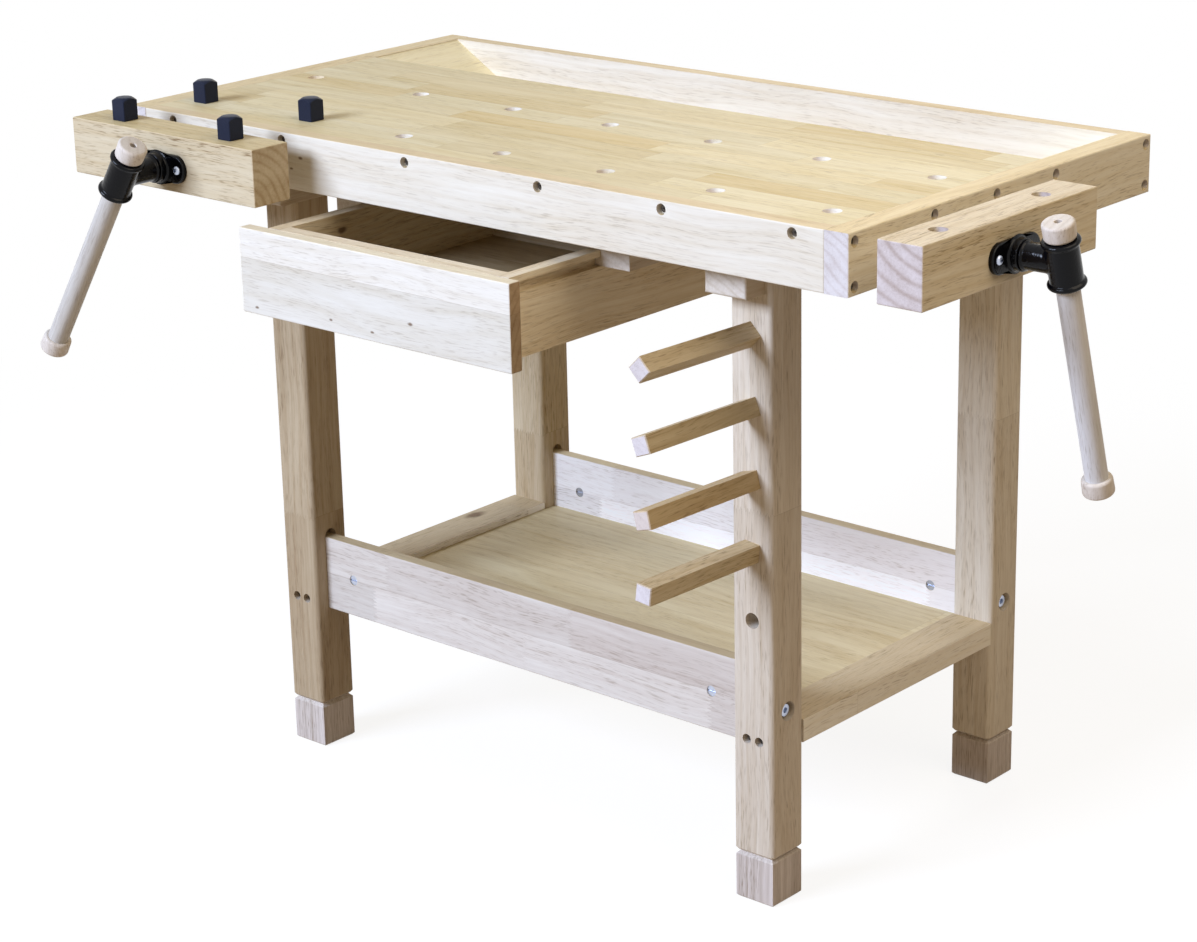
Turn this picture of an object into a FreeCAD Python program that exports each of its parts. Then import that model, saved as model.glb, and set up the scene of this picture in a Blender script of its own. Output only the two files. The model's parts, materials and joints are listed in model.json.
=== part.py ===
"""Children's woodworking bench: laminated top with a tool tray, front vice, end vice, drawer and leg frame.

X runs along the bench, Y from the front to the back and Z up from the floor, in millimetres.
The origin is on the floor, in the middle of the four feet.
"""
import FreeCAD, Part
import math
import os

os.makedirs("parts", exist_ok=True)

# Bench top
bench_length = 1000.0
bench_depth = 522.0
bench_height = 753.0
edge_board_height = 61.0
apron_thickness = 19.0
end_cap_thickness = 28.0
back_rail_thickness = 19.0
panel_thickness = 18.0
panel_rear_depth = 360.0
outer_edge_round = 1.5

# Rows of bench dog holes
dog_hole_diameter = 19.0
front_row_depth = 62.0
row_spacing = 170.0
column_spacing = 141.0
even_columns = 5
hole_stave_width = 40.0

# Bench dogs
dog_head_side = 20.0
dog_head_height = 25.0
dog_head_chamfer = 3.0
dog_head_round = 3.5
dog_shank_length = 44.0
dog_fit = 0.1
planted_dogs = 2

# Tool tray behind the panel
tray_floor_thickness = 8.0
tray_wall_thickness = 15.0
tray_ramp_run = 88.0
tray_ramp_lip = 1.0

# Countersunk board screws set in round pockets
screw_pocket_diameter = 11.5
screw_pocket_depth = 3.0
screw_head_diameter = 8.6
screw_head_height = 3.4
screw_shank_diameter = 4.5
screw_length = 50.0
screw_drive_width = 4.0
screw_drive_slot = 1.2
screw_drive_depth = 1.4
screw_drop = 9.0
apron_screw_places = (-426.0, -252.0, -68.0, 117.0, 277.0, 435.0)
cap_screw_spacing = 104.0
cap_screw_first_depth = 136.0
cap_screw_count = 3

# Leg frames
leg_side = 51.5
leg_round = 5.5
leg_outer_x = 358.5
front_leg_depth = 66.5
rear_leg_setback = 12.5
foot_height = 54.0
foot_inset = 1.7
foot_top_chamfer = 5.0
foot_bottom_chamfer = 2.0
leg_end_chamfer = 3.0
leg_cheek = 8.0
cross_rail_height = 35.0
cross_rail_front_depth = 37.0
cross_rail_round = 3.0
bearer_width = 28.0
bearer_front_depth = 52.0

# Lower frame and shelf
lower_frame_height = 170.0
stretcher_height = 87.5
stretcher_thickness = 16.0
stretcher_tenon = 10.0
stretcher_slot_clearance = 0.2
side_rail_height = 26.0
shelf_thickness = 10.0
shelf_below_rail = 8.0
shelf_tongue = 6.0
shelf_clearance = 0.2

# Cross bolts and barrel nuts of the stretchers
bolt_diameter = 8.0
bolt_head_diameter = 13.0
bolt_head_height = 6.0
bolt_socket_width = 6.0
bolt_socket_depth = 4.0
bolt_pocket_diameter = 21.0
bolt_pocket_depth = 10.0
bolt_hole_clearance = 0.2
barrel_nut_diameter = 12.0
barrel_nut_setback = 43.0
barrel_nut_recess = 1.0
barrel_nut_slot = 1.6
barrel_nut_clearance = 0.05

# Screws from the legs into the side rails
rail_screw_pocket_diameter = 10.6
rail_screw_pocket_depth = 6.0
rail_screw_spacing = 16.0
rail_screw_head_diameter = 7.6
rail_screw_length = 70.0

# Tool pegs in the right front leg
peg_side = 19.0
peg_reach = 168.0
peg_tenon_diameter = 17.0
peg_tenon_length = 30.0
peg_tilt = 1.3
peg_spacing = 75.0
peg_top_drop = 78.0
peg_edge_chamfer = 1.0
peg_rolls = (6.0, -15.0, -21.0, 45.0)

# Drawer, drawn out as it stands
drawer_front_face_depth = -88.0
drawer_front_left = -230.0
drawer_front_width = 387.0
drawer_below_apron = 22.0
drawer_front_height = 92.0
drawer_front_thickness = 16.0
drawer_left_overhang = 30.0
drawer_right_overhang = 15.0
drawer_side_height = 84.5
drawer_side_thickness = 16.0
drawer_box_length = 340.0
drawer_bottom_thickness = 6.0
drawer_bottom_rise = 7.0
drawer_bottom_tongue = 5.0
drawer_bottom_clearance = 0.1
drawer_lip = 7.0
drawer_groove_height = 10.0
drawer_groove_depth = 8.0
runner_clearance = 0.6
runner_width = 38.0
runner_front_depth = 64.0
runner_rear_gap = 1.0

# Vices
vice_gap = 30.0
jaw_length = 290.0
jaw_thickness = 51.0
jaw_height = 62.0
jaw_round = 1.5
vice_axis_drop = 36.0
flange_length = 81.0
flange_height = 31.0
flange_thickness = 5.0
flange_screw_spacing = 60.0
flange_screw_shank = 4.5
flange_screw_length = 30.0
flange_screw_head_diameter = 9.5
flange_screw_head_height = 3.2
collar_diameter = 32.0
collar_length = 9.0
neck_diameter = 27.0
neck_fit = 0.1
hub_offset = 56.0
hub_length = 49.0
hub_diameter = 33.0
hub_bead_diameter = 38.0
hub_bead_length = 5.5
spindle_diameter = 18.0
spindle_in_neck = 24.0
spindle_fit = 0.1
spindle_wall_clearance = 1.0
guide_rod_diameter = 13.0
guide_rod_dog_gap = 5.0
guide_rod_in_jaw = 35.0
guide_rod_reach = 137.0
guide_rod_fit = 0.1
guide_rod_wall_clearance = 0.5
nut_block_thickness = 30.0
nut_block_length = 180.0
nut_block_below_axis = 21.0
handle_diameter = 23.0
handle_fit = 0.1
handle_reach = 255.5
handle_cap_diameter = 32.0
handle_cap_height = 18.0
handle_cap_round = 3.0
handle_cap_socket = 11.0
handle_cap_hole_diameter = 7.0
handle_cap_hole_depth = 4.0
handle_rest_gap = 0.3
front_handle_tilt = 32.8
end_handle_tilt = -16.8

# Values worked out from the driving dimensions
half_length = bench_length / 2.0
inner_half_length = half_length - end_cap_thickness
apron_bottom = bench_height - edge_board_height
panel_bottom = bench_height - panel_thickness
back_rail_front_depth = bench_depth - back_rail_thickness
leg_inner_x = leg_outer_x - leg_side
rear_leg_back_depth = bench_depth - rear_leg_setback
frame_middle_depth = (front_leg_depth + rear_leg_back_depth) / 2.0
rear_leg_depth = rear_leg_back_depth - leg_side
rear_row_depth = front_row_depth + row_spacing
tray_wall_depth = panel_rear_depth - tray_wall_thickness
tray_floor_top = apron_bottom + tray_floor_thickness
cross_rail_bottom = apron_bottom - cross_rail_height
vice_axis_height = bench_height - vice_axis_drop
front_vice_x = -half_length + jaw_length / 2.0
end_vice_depth = front_row_depth + row_spacing / 2.0
jaw_face = vice_gap + jaw_thickness
hub_distance = jaw_face + hub_offset
guide_rod_spacing = row_spacing - dog_hole_diameter - guide_rod_diameter - 2.0 * guide_rod_dog_gap
stretcher_bolt_height = lower_frame_height + stretcher_height / 2.0
rail_screw_height = lower_frame_height + side_rail_height / 2.0
shelf_top = lower_frame_height + side_rail_height - shelf_below_rail
shelf_bottom = shelf_top - shelf_thickness
drawer_front_top = apron_bottom - drawer_below_apron
drawer_box_left = drawer_front_left + drawer_left_overhang
drawer_box_right = drawer_front_left + drawer_front_width - drawer_right_overhang
drawer_box_front_depth = drawer_front_face_depth + drawer_front_thickness
drawer_box_rear_depth = drawer_box_front_depth + drawer_box_length
drawer_side_bottom = drawer_front_top - drawer_side_height
drawer_groove_top = drawer_front_top - drawer_lip
drawer_groove_bottom = drawer_groove_top - drawer_groove_height
drawer_bottom_low = drawer_side_bottom + drawer_bottom_rise

x_axis = FreeCAD.Vector(1, 0, 0)
y_axis = FreeCAD.Vector(0, 1, 0)
z_axis = FreeCAD.Vector(0, 0, 1)
touch = 0.01


def at(x, depth, z):
    """A point given by its distance behind the apron's face."""
    return FreeCAD.Vector(x, depth - frame_middle_depth, z)


def block(x_range, depth_range, z_range):
    """A plain box between two limits each way."""
    corner = at(min(x_range), min(depth_range), min(z_range))
    sizes = [abs(limits[1] - limits[0]) for limits in (x_range, depth_range, z_range)]
    return Part.makeBox(sizes[0], sizes[1], sizes[2], corner)


def rod(start, end, diameter):
    """A round bar between two points."""
    run = end - start
    return Part.makeCylinder(diameter / 2.0, run.Length, start, run)


def cone(start, end, start_diameter, end_diameter):
    run = end - start
    return Part.makeCone(start_diameter / 2.0, end_diameter / 2.0, run.Length, start, run)


def edges_where(shape, test):
    """The edges whose two ends and middle all pass a test."""
    chosen = []
    for edge in shape.Edges:
        points = [vertex.Point for vertex in edge.Vertexes]
        points.append(edge.CenterOfMass)
        if all(test(point) for point in points):
            chosen.append(edge)
    return chosen


def rounded_on_plane(shape, axis, value, radius):
    """Round every edge that lies in one plane, square to an axis."""
    picked = edges_where(shape, lambda point: abs(point.dot(axis) - value) < touch)
    return shape.makeFillet(radius, picked)


def rounded_along(shape, axis, radius):
    """Round the edges that run along an axis."""
    picked = []
    for edge in shape.Edges:
        run = edge.Vertexes[-1].Point - edge.Vertexes[0].Point
        if run.Length > touch and abs(run.dot(axis)) > run.Length - touch:
            picked.append(edge)
    return shape.makeFillet(radius, picked)


def rounded_board(x_range, depth_range, z_range, radius):
    """A board with every edge eased."""
    board = block(x_range, depth_range, z_range)
    return board.makeFillet(radius, board.Edges)


def moved(shape, turn, offset):
    """A copy turned about Z and then shifted."""
    copy = shape.copy()
    copy.rotate(FreeCAD.Vector(0, 0, 0), z_axis, turn)
    copy.translate(offset)
    return copy


def save(name, solids):
    """Write one node: a single solid, or a group of separate solids."""
    shape = solids[0] if len(solids) == 1 else Part.makeCompound(solids)
    shape.exportStep("parts/" + name + ".step")


# Screws

def board_screw(face, inward, head_diameter, length, pocket_depth):
    """A countersunk screw with a cross drive, its head at the bottom of its pocket."""
    top = face + inward * pocket_depth
    neck = top + inward * screw_head_height
    screw = cone(top, neck, head_diameter, screw_shank_diameter)
    screw = screw.fuse(rod(neck, face + inward * length, screw_shank_diameter))
    across = inward.cross(z_axis)
    for arm in (across, z_axis):
        reach = arm * (screw_drive_width / 2.0)
        side = inward.cross(arm) * (screw_drive_slot / 2.0)
        corners = [top - reach - side, top + reach - side, top + reach + side, top - reach + side]
        outline = Part.makePolygon(corners + corners[:1])
        screw = screw.cut(Part.Face(outline).extrude(inward * screw_drive_depth))
    return screw


def screw_hole(face, inward, pocket_diameter, length, pocket_depth):
    """The pocket and pilot hole that a board screw sits in."""
    pocket = rod(face, face + inward * (pocket_depth + screw_head_height), pocket_diameter)
    return pocket.fuse(rod(face, face + inward * length, screw_shank_diameter))


def apron_screw_points():
    return [at(x, 0.0, bench_height - screw_drop) for x in apron_screw_places]


def cap_screw_points(side):
    """Screws through an end cap: two into each long board and a row into the panel."""
    x = side * half_length
    top = bench_height - screw_drop
    bottom = apron_bottom + screw_drop
    points = []
    for depth in (apron_thickness / 2.0, bench_depth - back_rail_thickness / 2.0):
        points.append(at(x, depth, top))
        points.append(at(x, depth, bottom))
    for index in range(cap_screw_count):
        points.append(at(x, cap_screw_first_depth + cap_screw_spacing * index, top))
    return points


def cut_screw_holes(board, points, inward):
    for point in points:
        board = board.cut(screw_hole(point, inward, screw_pocket_diameter, screw_length, screw_pocket_depth))
    return board


def board_screws(points, inward):
    screws = []
    for point in points:
        screws.append(board_screw(point, inward, screw_head_diameter, screw_length, screw_pocket_depth))
    return screws


# Holes that a vice needs in the board behind its jaw, along a line from the axis

def vice_wall_holes(wall_thickness):
    """Spindle and guide rod holes, drawn for a wall whose outer face is at Y zero."""
    start = FreeCAD.Vector(0, -wall_thickness, 0)
    end = FreeCAD.Vector(0, 2.0 * wall_thickness, 0)
    holes = [rod(start, end, spindle_diameter + 2.0 * spindle_wall_clearance)]
    for side in (-1, 1):
        offset = FreeCAD.Vector(side * guide_rod_spacing / 2.0, 0, 0)
        diameter = guide_rod_diameter + 2.0 * guide_rod_wall_clearance
        holes.append(rod(start + offset, end + offset, diameter))
    return Part.makeCompound(holes)


front_vice_place = at(front_vice_x, 0.0, vice_axis_height)
end_vice_place = at(half_length, end_vice_depth, vice_axis_height)
end_vice_turn = 90.0


# Edge boards of the top

def front_apron():
    board = block((-inner_half_length, inner_half_length), (0, apron_thickness), (apron_bottom, bench_height))
    board = rounded_on_plane(board, y_axis, at(0, 0, 0).y, outer_edge_round)
    board = cut_screw_holes(board, apron_screw_points(), y_axis)
    for side in (-1, 1):
        points = cap_screw_points(side)
        board = cut_screw_holes(board, points[:2], x_axis * -side)
    return board.cut(moved(vice_wall_holes(apron_thickness), 0.0, front_vice_place))


def end_cap(side):
    limits = (side * inner_half_length, side * half_length)
    board = block(limits, (0, bench_depth), (apron_bottom, bench_height))
    board = rounded_on_plane(board, x_axis, side * half_length, outer_edge_round)
    board = cut_screw_holes(board, cap_screw_points(side), x_axis * -side)
    if side > 0:
        board = board.cut(moved(vice_wall_holes(end_cap_thickness), end_vice_turn, end_vice_place))
    return board


def back_rail():
    depths = (back_rail_front_depth, bench_depth)
    board = block((-inner_half_length, inner_half_length), depths, (apron_bottom, bench_height))
    board = rounded_on_plane(board, y_axis, at(0, bench_depth, 0).y, outer_edge_round)
    for side in (-1, 1):
        points = cap_screw_points(side)
        board = cut_screw_holes(board, points[2:4], x_axis * -side)
    return board


# Laminated panel

def dog_columns():
    """Places along the bench of the dog holes: two match the front jaw, the rest are evenly spaced."""
    columns = [front_vice_x - row_spacing / 2.0, front_vice_x + row_spacing / 2.0]
    for index in range(even_columns):
        columns.append(columns[-1] + column_spacing)
    return columns


def cut_panel_screws(stave):
    stave = cut_screw_holes(stave, apron_screw_points(), y_axis)
    for side in (-1, 1):
        stave = cut_screw_holes(stave, cap_screw_points(side), x_axis * -side)
    return stave


def plain_staves():
    half = hole_stave_width / 2.0
    limits = [(apron_thickness, front_row_depth - half)]
    limits.append((front_row_depth + half, rear_row_depth - half))
    limits.append((rear_row_depth + half, panel_rear_depth))
    staves = []
    for depths in limits:
        stave = block((-inner_half_length, inner_half_length), depths, (panel_bottom, bench_height))
        staves.append(cut_panel_screws(stave))
    return staves


def hole_staves(row_depth):
    """A row of short staves end to end, each with one dog hole."""
    half = hole_stave_width / 2.0
    columns = dog_columns()
    joints = [(left + right) / 2.0 for left, right in zip(columns, columns[1:])]
    ends = [-inner_half_length] + joints + [inner_half_length]
    staves = []
    for index, column in enumerate(columns):
        limits = (ends[index], ends[index + 1])
        stave = block(limits, (row_depth - half, row_depth + half), (panel_bottom, bench_height))
        low = at(column, row_depth, panel_bottom)
        high = at(column, row_depth, bench_height)
        stave = stave.cut(rod(low, high, dog_hole_diameter))
        staves.append(cut_panel_screws(stave))
    return staves


# Tool tray

def tray_floor():
    depths = (tray_wall_depth, back_rail_front_depth)
    return block((-inner_half_length, inner_half_length), depths, (apron_bottom, tray_floor_top))


def tray_front_wall():
    depths = (tray_wall_depth, panel_rear_depth)
    return block((-inner_half_length, inner_half_length), depths, (tray_floor_top, panel_bottom))


def tray_ramp(side):
    """A wedge that lets sweepings slide out of one end of the tray."""
    end_x = side * inner_half_length
    foot_x = side * (inner_half_length - tray_ramp_run)
    top = bench_height - tray_ramp_lip
    corners = [at(end_x, panel_rear_depth, tray_floor_top)]
    corners.append(at(end_x, panel_rear_depth, top))
    corners.append(at(foot_x, panel_rear_depth, tray_floor_top))
    wedge = Part.Face(Part.makePolygon(corners + corners[:1]))
    return wedge.extrude(y_axis * (back_rail_front_depth - panel_rear_depth))


# Leg frames

def bolt_line(side, depth):
    """The outer face point and inward direction of one stretcher bolt."""
    return at(side * leg_outer_x, depth, stretcher_bolt_height), x_axis * -side


def rail_screw_points(side, face_depth):
    """The two screws on a leg's front or back face that hold the side rail's end."""
    middle = side * (leg_outer_x - leg_side / 2.0)
    points = []
    for sign in (-1, 1):
        points.append(at(middle + sign * rail_screw_spacing / 2.0, face_depth, rail_screw_height))
    return points


def stretcher_slot(side, middle_depth):
    """The round-topped slot in a leg's inner face that takes a stretcher's end."""
    width = stretcher_thickness + 2.0 * stretcher_slot_clearance
    deep = stretcher_tenon + stretcher_slot_clearance
    limits = (side * leg_inner_x, side * (leg_inner_x + deep))
    top = lower_frame_height + stretcher_height + stretcher_slot_clearance
    depths = (middle_depth - width / 2.0, middle_depth + width / 2.0)
    slot = block(limits, depths, (lower_frame_height - stretcher_slot_clearance, top))
    start = at(side * leg_inner_x, middle_depth, top)
    return slot.fuse(rod(start, start + x_axis * (side * deep), width))


def leg(side, leg_depth, outer_face_depth):
    x_limits = (side * leg_inner_x, side * leg_outer_x)
    depths = (leg_depth, leg_depth + leg_side)
    post = block(x_limits, depths, (foot_height, apron_bottom))
    post = rounded_along(post, z_axis, leg_round)
    bottom = edges_where(post, lambda point: abs(point.z - foot_height) < touch)
    post = post.makeChamfer(leg_end_chamfer, bottom)
    notch_limits = (side * leg_inner_x, side * (leg_outer_x - leg_cheek))
    post = post.cut(block(notch_limits, depths, (cross_rail_bottom, apron_bottom)))
    middle = leg_depth + leg_side / 2.0
    post = post.cut(stretcher_slot(side, middle))
    face, inward = bolt_line(side, middle)
    post = post.cut(rod(face, face + inward * bolt_pocket_depth, bolt_pocket_diameter))
    post = post.cut(rod(face, face + inward * leg_side, bolt_diameter + 2.0 * bolt_hole_clearance))
    toward_rail = y_axis if outer_face_depth < frame_middle_depth else y_axis * -1.0
    for point in rail_screw_points(side, outer_face_depth):
        hole = screw_hole(point, toward_rail, rail_screw_pocket_diameter, rail_screw_length,
                          rail_screw_pocket_depth)
        post = post.cut(hole)
    return post


def peg_points():
    """The holes for the tool pegs, lowest first: the lowest stays empty."""
    middle = leg_outer_x - leg_side / 2.0
    lowest = apron_bottom - peg_top_drop - peg_spacing * len(peg_rolls)
    heights = [lowest + peg_spacing * index for index in range(len(peg_rolls) + 1)]
    return [at(middle, front_leg_depth, height) for height in heights]


def peg_direction():
    tilt = math.radians(peg_tilt)
    return FreeCAD.Vector(0, -math.cos(tilt), math.sin(tilt))


def front_right_leg():
    post = leg(1, front_leg_depth, front_leg_depth)
    points = peg_points()
    post = post.cut(rod(points[0], points[0] + y_axis * peg_tenon_length, peg_tenon_diameter))
    for point in points[1:]:
        start = point + peg_direction() * peg_tenon_diameter
        post = post.cut(rod(start, point - peg_direction() * peg_tenon_length, peg_tenon_diameter))
    return post


def tool_peg(point, roll):
    """A square peg with a round tenon, its shoulder trimmed to the leg's face."""
    half = peg_side / 2.0
    length = peg_reach + peg_side
    bar = Part.makeBox(peg_side, length, peg_side, FreeCAD.Vector(-half, -peg_reach, -half))
    bar = bar.makeChamfer(peg_edge_chamfer, edges_where(bar, lambda place: place.y < touch - peg_reach))
    bar.rotate(FreeCAD.Vector(0, 0, 0), y_axis, roll)
    bar.rotate(FreeCAD.Vector(0, 0, 0), x_axis, -peg_tilt)
    bar.translate(point)
    limits = (point.x - leg_side, point.x + leg_side)
    depths = (front_leg_depth, front_leg_depth + 2.0 * peg_side)
    bar = bar.cut(block(limits, depths, (point.z - leg_side, point.z + leg_side)))
    inner = point - peg_direction() * peg_tenon_length
    return bar.fuse(rod(point + peg_direction() * peg_side, inner, peg_tenon_diameter))


def tool_pegs():
    return [tool_peg(point, roll) for point, roll in zip(peg_points()[1:], peg_rolls)]


def foot_block(side, leg_depth):
    """A block under a leg, a little slimmer than the leg all round."""
    x_limits = (side * (leg_inner_x + foot_inset), side * (leg_outer_x - foot_inset))
    depths = (leg_depth + foot_inset, leg_depth + leg_side - foot_inset)
    foot = block(x_limits, depths, (0, foot_height))
    top = edges_where(foot, lambda point: abs(point.z - foot_height) < touch)
    foot = foot.makeChamfer(foot_top_chamfer, top)
    bottom = edges_where(foot, lambda point: abs(point.z) < touch)
    return foot.makeChamfer(foot_bottom_chamfer, bottom)


def cross_rail(side):
    """The top rail of a leg frame, housed in the notches of its two legs."""
    outer = side * (leg_outer_x - leg_cheek)
    limits = (outer - side * leg_side, outer)
    depths = (cross_rail_front_depth, rear_leg_back_depth)
    rail = block(limits, depths, (cross_rail_bottom, apron_bottom))
    front = edges_where(rail, lambda point: abs(point.y - at(0, cross_rail_front_depth, 0).y) < touch)
    return rail.makeFillet(cross_rail_round, front)


def bearer(side):
    """A batten on the cross rail that the panel lies on."""
    inner = side * (leg_outer_x - leg_cheek - leg_side)
    limits = (inner, inner + side * bearer_width)
    return block(limits, (bearer_front_depth, tray_wall_depth), (apron_bottom, panel_bottom))


# Lower frame and shelf

def leg_middle_depths():
    return (front_leg_depth + leg_side / 2.0, rear_leg_depth + leg_side / 2.0)


def barrel_nut_place(side, middle_depth):
    return at(side * (leg_inner_x - barrel_nut_setback), middle_depth, stretcher_bolt_height)


def stretcher(middle_depth):
    half = stretcher_thickness / 2.0
    reach = leg_inner_x + stretcher_tenon
    heights = (lower_frame_height, lower_frame_height + stretcher_height)
    board = rounded_board((-reach, reach), (middle_depth - half, middle_depth + half), heights,
                          outer_edge_round)
    for side in (-1, 1):
        face, inward = bolt_line(side, middle_depth)
        length = leg_side + barrel_nut_setback + barrel_nut_diameter
        board = board.cut(rod(face, face + inward * length, bolt_diameter + 2.0 * bolt_hole_clearance))
        place = barrel_nut_place(side, middle_depth)
        through = y_axis * stretcher_thickness
        diameter = barrel_nut_diameter + 2.0 * barrel_nut_clearance
        board = board.cut(rod(place - through, place + through, diameter))
    return board


def stretcher_bolt(side, middle_depth):
    face, inward = bolt_line(side, middle_depth)
    seat = face + inward * bolt_pocket_depth
    head_top = seat - inward * bolt_head_height
    end = face + inward * (leg_side + barrel_nut_setback)
    bolt = rod(head_top, seat, bolt_head_diameter).fuse(rod(seat, end, bolt_diameter))
    socket_radius = bolt_socket_width / math.sqrt(3.0)
    corners = []
    for index in range(6):
        angle = math.radians(60.0 * index)
        offset = FreeCAD.Vector(0, math.cos(angle), math.sin(angle)) * socket_radius
        corners.append(head_top + offset)
    socket = Part.Face(Part.makePolygon(corners + corners[:1])).extrude(inward * bolt_socket_depth)
    return bolt.cut(socket)


def barrel_nut(side, middle_depth):
    """A cross dowel with a screwdriver slot in its end and a hole for the bolt."""
    place = barrel_nut_place(side, middle_depth)
    reach = y_axis * (stretcher_thickness / 2.0 - barrel_nut_recess)
    nut = rod(place - reach, place + reach, barrel_nut_diameter)
    half = x_axis * barrel_nut_diameter
    nut = nut.cut(rod(place - half, place + half, bolt_diameter))
    low = place - reach - FreeCAD.Vector(barrel_nut_diameter, 0, barrel_nut_slot) * 0.5
    return nut.cut(Part.makeBox(barrel_nut_diameter, barrel_nut_slot, barrel_nut_slot, low))


def stretcher_hardware(maker):
    return [maker(side, depth) for side in (-1, 1) for depth in leg_middle_depths()]


def side_rail(side):
    """A lower rail between two legs, grooved inside for the shelf's edge."""
    x_limits = (side * leg_inner_x, side * leg_outer_x)
    depths = (front_leg_depth + leg_side, rear_leg_depth)
    rail = block(x_limits, depths, (lower_frame_height, lower_frame_height + side_rail_height))
    rail = rounded_along(rail, y_axis, outer_edge_round)
    deep = shelf_tongue + shelf_clearance
    groove = block((side * leg_inner_x, side * (leg_inner_x + deep)), depths,
                   (shelf_bottom - shelf_clearance, shelf_top + shelf_clearance))
    rail = rail.cut(groove)
    for point in rail_screw_points(side, front_leg_depth):
        rail = rail.cut(rod(point, point + y_axis * rail_screw_length, screw_shank_diameter))
    for point in rail_screw_points(side, rear_leg_back_depth):
        rail = rail.cut(rod(point, point - y_axis * rail_screw_length, screw_shank_diameter))
    return rail


def rail_screws():
    screws = []
    faces = ((front_leg_depth, y_axis), (rear_leg_back_depth, y_axis * -1.0))
    for side in (-1, 1):
        for face_depth, inward in faces:
            for point in rail_screw_points(side, face_depth):
                screws.append(board_screw(point, inward, rail_screw_head_diameter, rail_screw_length,
                                          rail_screw_pocket_depth))
    return screws


def shelf_panel():
    front, rear = leg_middle_depths()
    half = stretcher_thickness / 2.0
    heights = (shelf_bottom, shelf_top)
    inner = leg_inner_x - shelf_clearance
    panel = block((-inner, inner), (front + half, rear - half), heights)
    reach = leg_inner_x + shelf_tongue
    depths = (front_leg_depth + leg_side + shelf_clearance, rear_leg_depth - shelf_clearance)
    return panel.fuse(block((-reach, reach), depths, heights)).removeSplitter()


# Drawer and its runners

def drawer_front():
    limits = (drawer_front_left, drawer_front_left + drawer_front_width)
    depths = (drawer_front_face_depth, drawer_box_front_depth)
    heights = (drawer_front_top - drawer_front_height, drawer_front_top)
    return rounded_board(limits, depths, heights, outer_edge_round)


def drawer_bottom_groove():
    """The groove all round the box that holds the bottom's edge."""
    spread = drawer_side_thickness - drawer_bottom_tongue - drawer_bottom_clearance
    limits = (drawer_box_left + spread, drawer_box_right - spread)
    depths = (drawer_box_front_depth + spread, drawer_box_rear_depth - spread)
    low = drawer_bottom_low - drawer_bottom_clearance
    high = drawer_bottom_low + drawer_bottom_thickness + drawer_bottom_clearance
    return block(limits, depths, (low, high))


def drawer_side(side):
    outer = drawer_box_right if side > 0 else drawer_box_left
    depths = (drawer_box_front_depth, drawer_box_rear_depth)
    board = block((outer, outer - side * drawer_side_thickness), depths,
                  (drawer_side_bottom, drawer_front_top))
    board = board.cut(drawer_bottom_groove())
    groove = block((outer, outer - side * drawer_groove_depth), depths,
                   (drawer_groove_bottom, drawer_groove_top))
    return board.cut(groove)


def drawer_cross_board(front_depth):
    """The box's inner front or back, between the sides."""
    limits = (drawer_box_left + drawer_side_thickness, drawer_box_right - drawer_side_thickness)
    depths = (front_depth, front_depth + drawer_side_thickness)
    board = block(limits, depths, (drawer_side_bottom, drawer_front_top))
    return board.cut(drawer_bottom_groove())


def drawer_bottom():
    spread = drawer_side_thickness - drawer_bottom_tongue
    limits = (drawer_box_left + spread, drawer_box_right - spread)
    depths = (drawer_box_front_depth + spread, drawer_box_rear_depth - spread)
    return block(limits, depths, (drawer_bottom_low, drawer_bottom_low + drawer_bottom_thickness))


def drawer_runner(side):
    """A block under the panel with a tongue that carries the drawer's lip."""
    outer = drawer_box_right if side > 0 else drawer_box_left
    face = outer + side * runner_clearance
    depths = (runner_front_depth, tray_wall_depth - runner_rear_gap)
    low = drawer_groove_bottom + runner_clearance
    beam = block((face, face + side * runner_width), depths, (low, panel_bottom))
    tongue_end = outer - side * (drawer_groove_depth - runner_clearance)
    tongue = block((face, tongue_end), depths, (low, drawer_groove_top))
    return beam.fuse(tongue).removeSplitter()


# Vices, drawn facing the front with the axis through the origin and the bench's face at Y zero

def vice_rod_offsets():
    return [FreeCAD.Vector(side * guide_rod_spacing / 2.0, 0, 0) for side in (-1, 1)]


def flange_screw_offsets():
    return [FreeCAD.Vector(side * flange_screw_spacing / 2.0, -jaw_face, 0) for side in (-1, 1)]


def vice_jaw():
    top = bench_height - vice_axis_height
    corner = FreeCAD.Vector(-jaw_length / 2.0, -jaw_face, top - jaw_height)
    jaw = Part.makeBox(jaw_length, jaw_thickness, jaw_height, corner)
    jaw = jaw.makeFillet(jaw_round, jaw.Edges)
    middle = -(vice_gap + jaw_thickness / 2.0)
    for side in (-1, 1):
        low = FreeCAD.Vector(side * row_spacing / 2.0, middle, top - jaw_height)
        jaw = jaw.cut(rod(low, low + z_axis * jaw_height, dog_hole_diameter))
    outer = FreeCAD.Vector(0, -jaw_face, 0)
    jaw = jaw.cut(rod(outer, outer + y_axis * jaw_thickness, spindle_diameter + 2.0 * spindle_wall_clearance))
    for offset in vice_rod_offsets():
        inner = offset - y_axis * vice_gap
        jaw = jaw.cut(rod(inner - y_axis * guide_rod_in_jaw, inner, guide_rod_diameter))
    for place in flange_screw_offsets():
        jaw = jaw.cut(rod(place, place + y_axis * flange_screw_length, flange_screw_shank))
    return jaw


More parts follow.
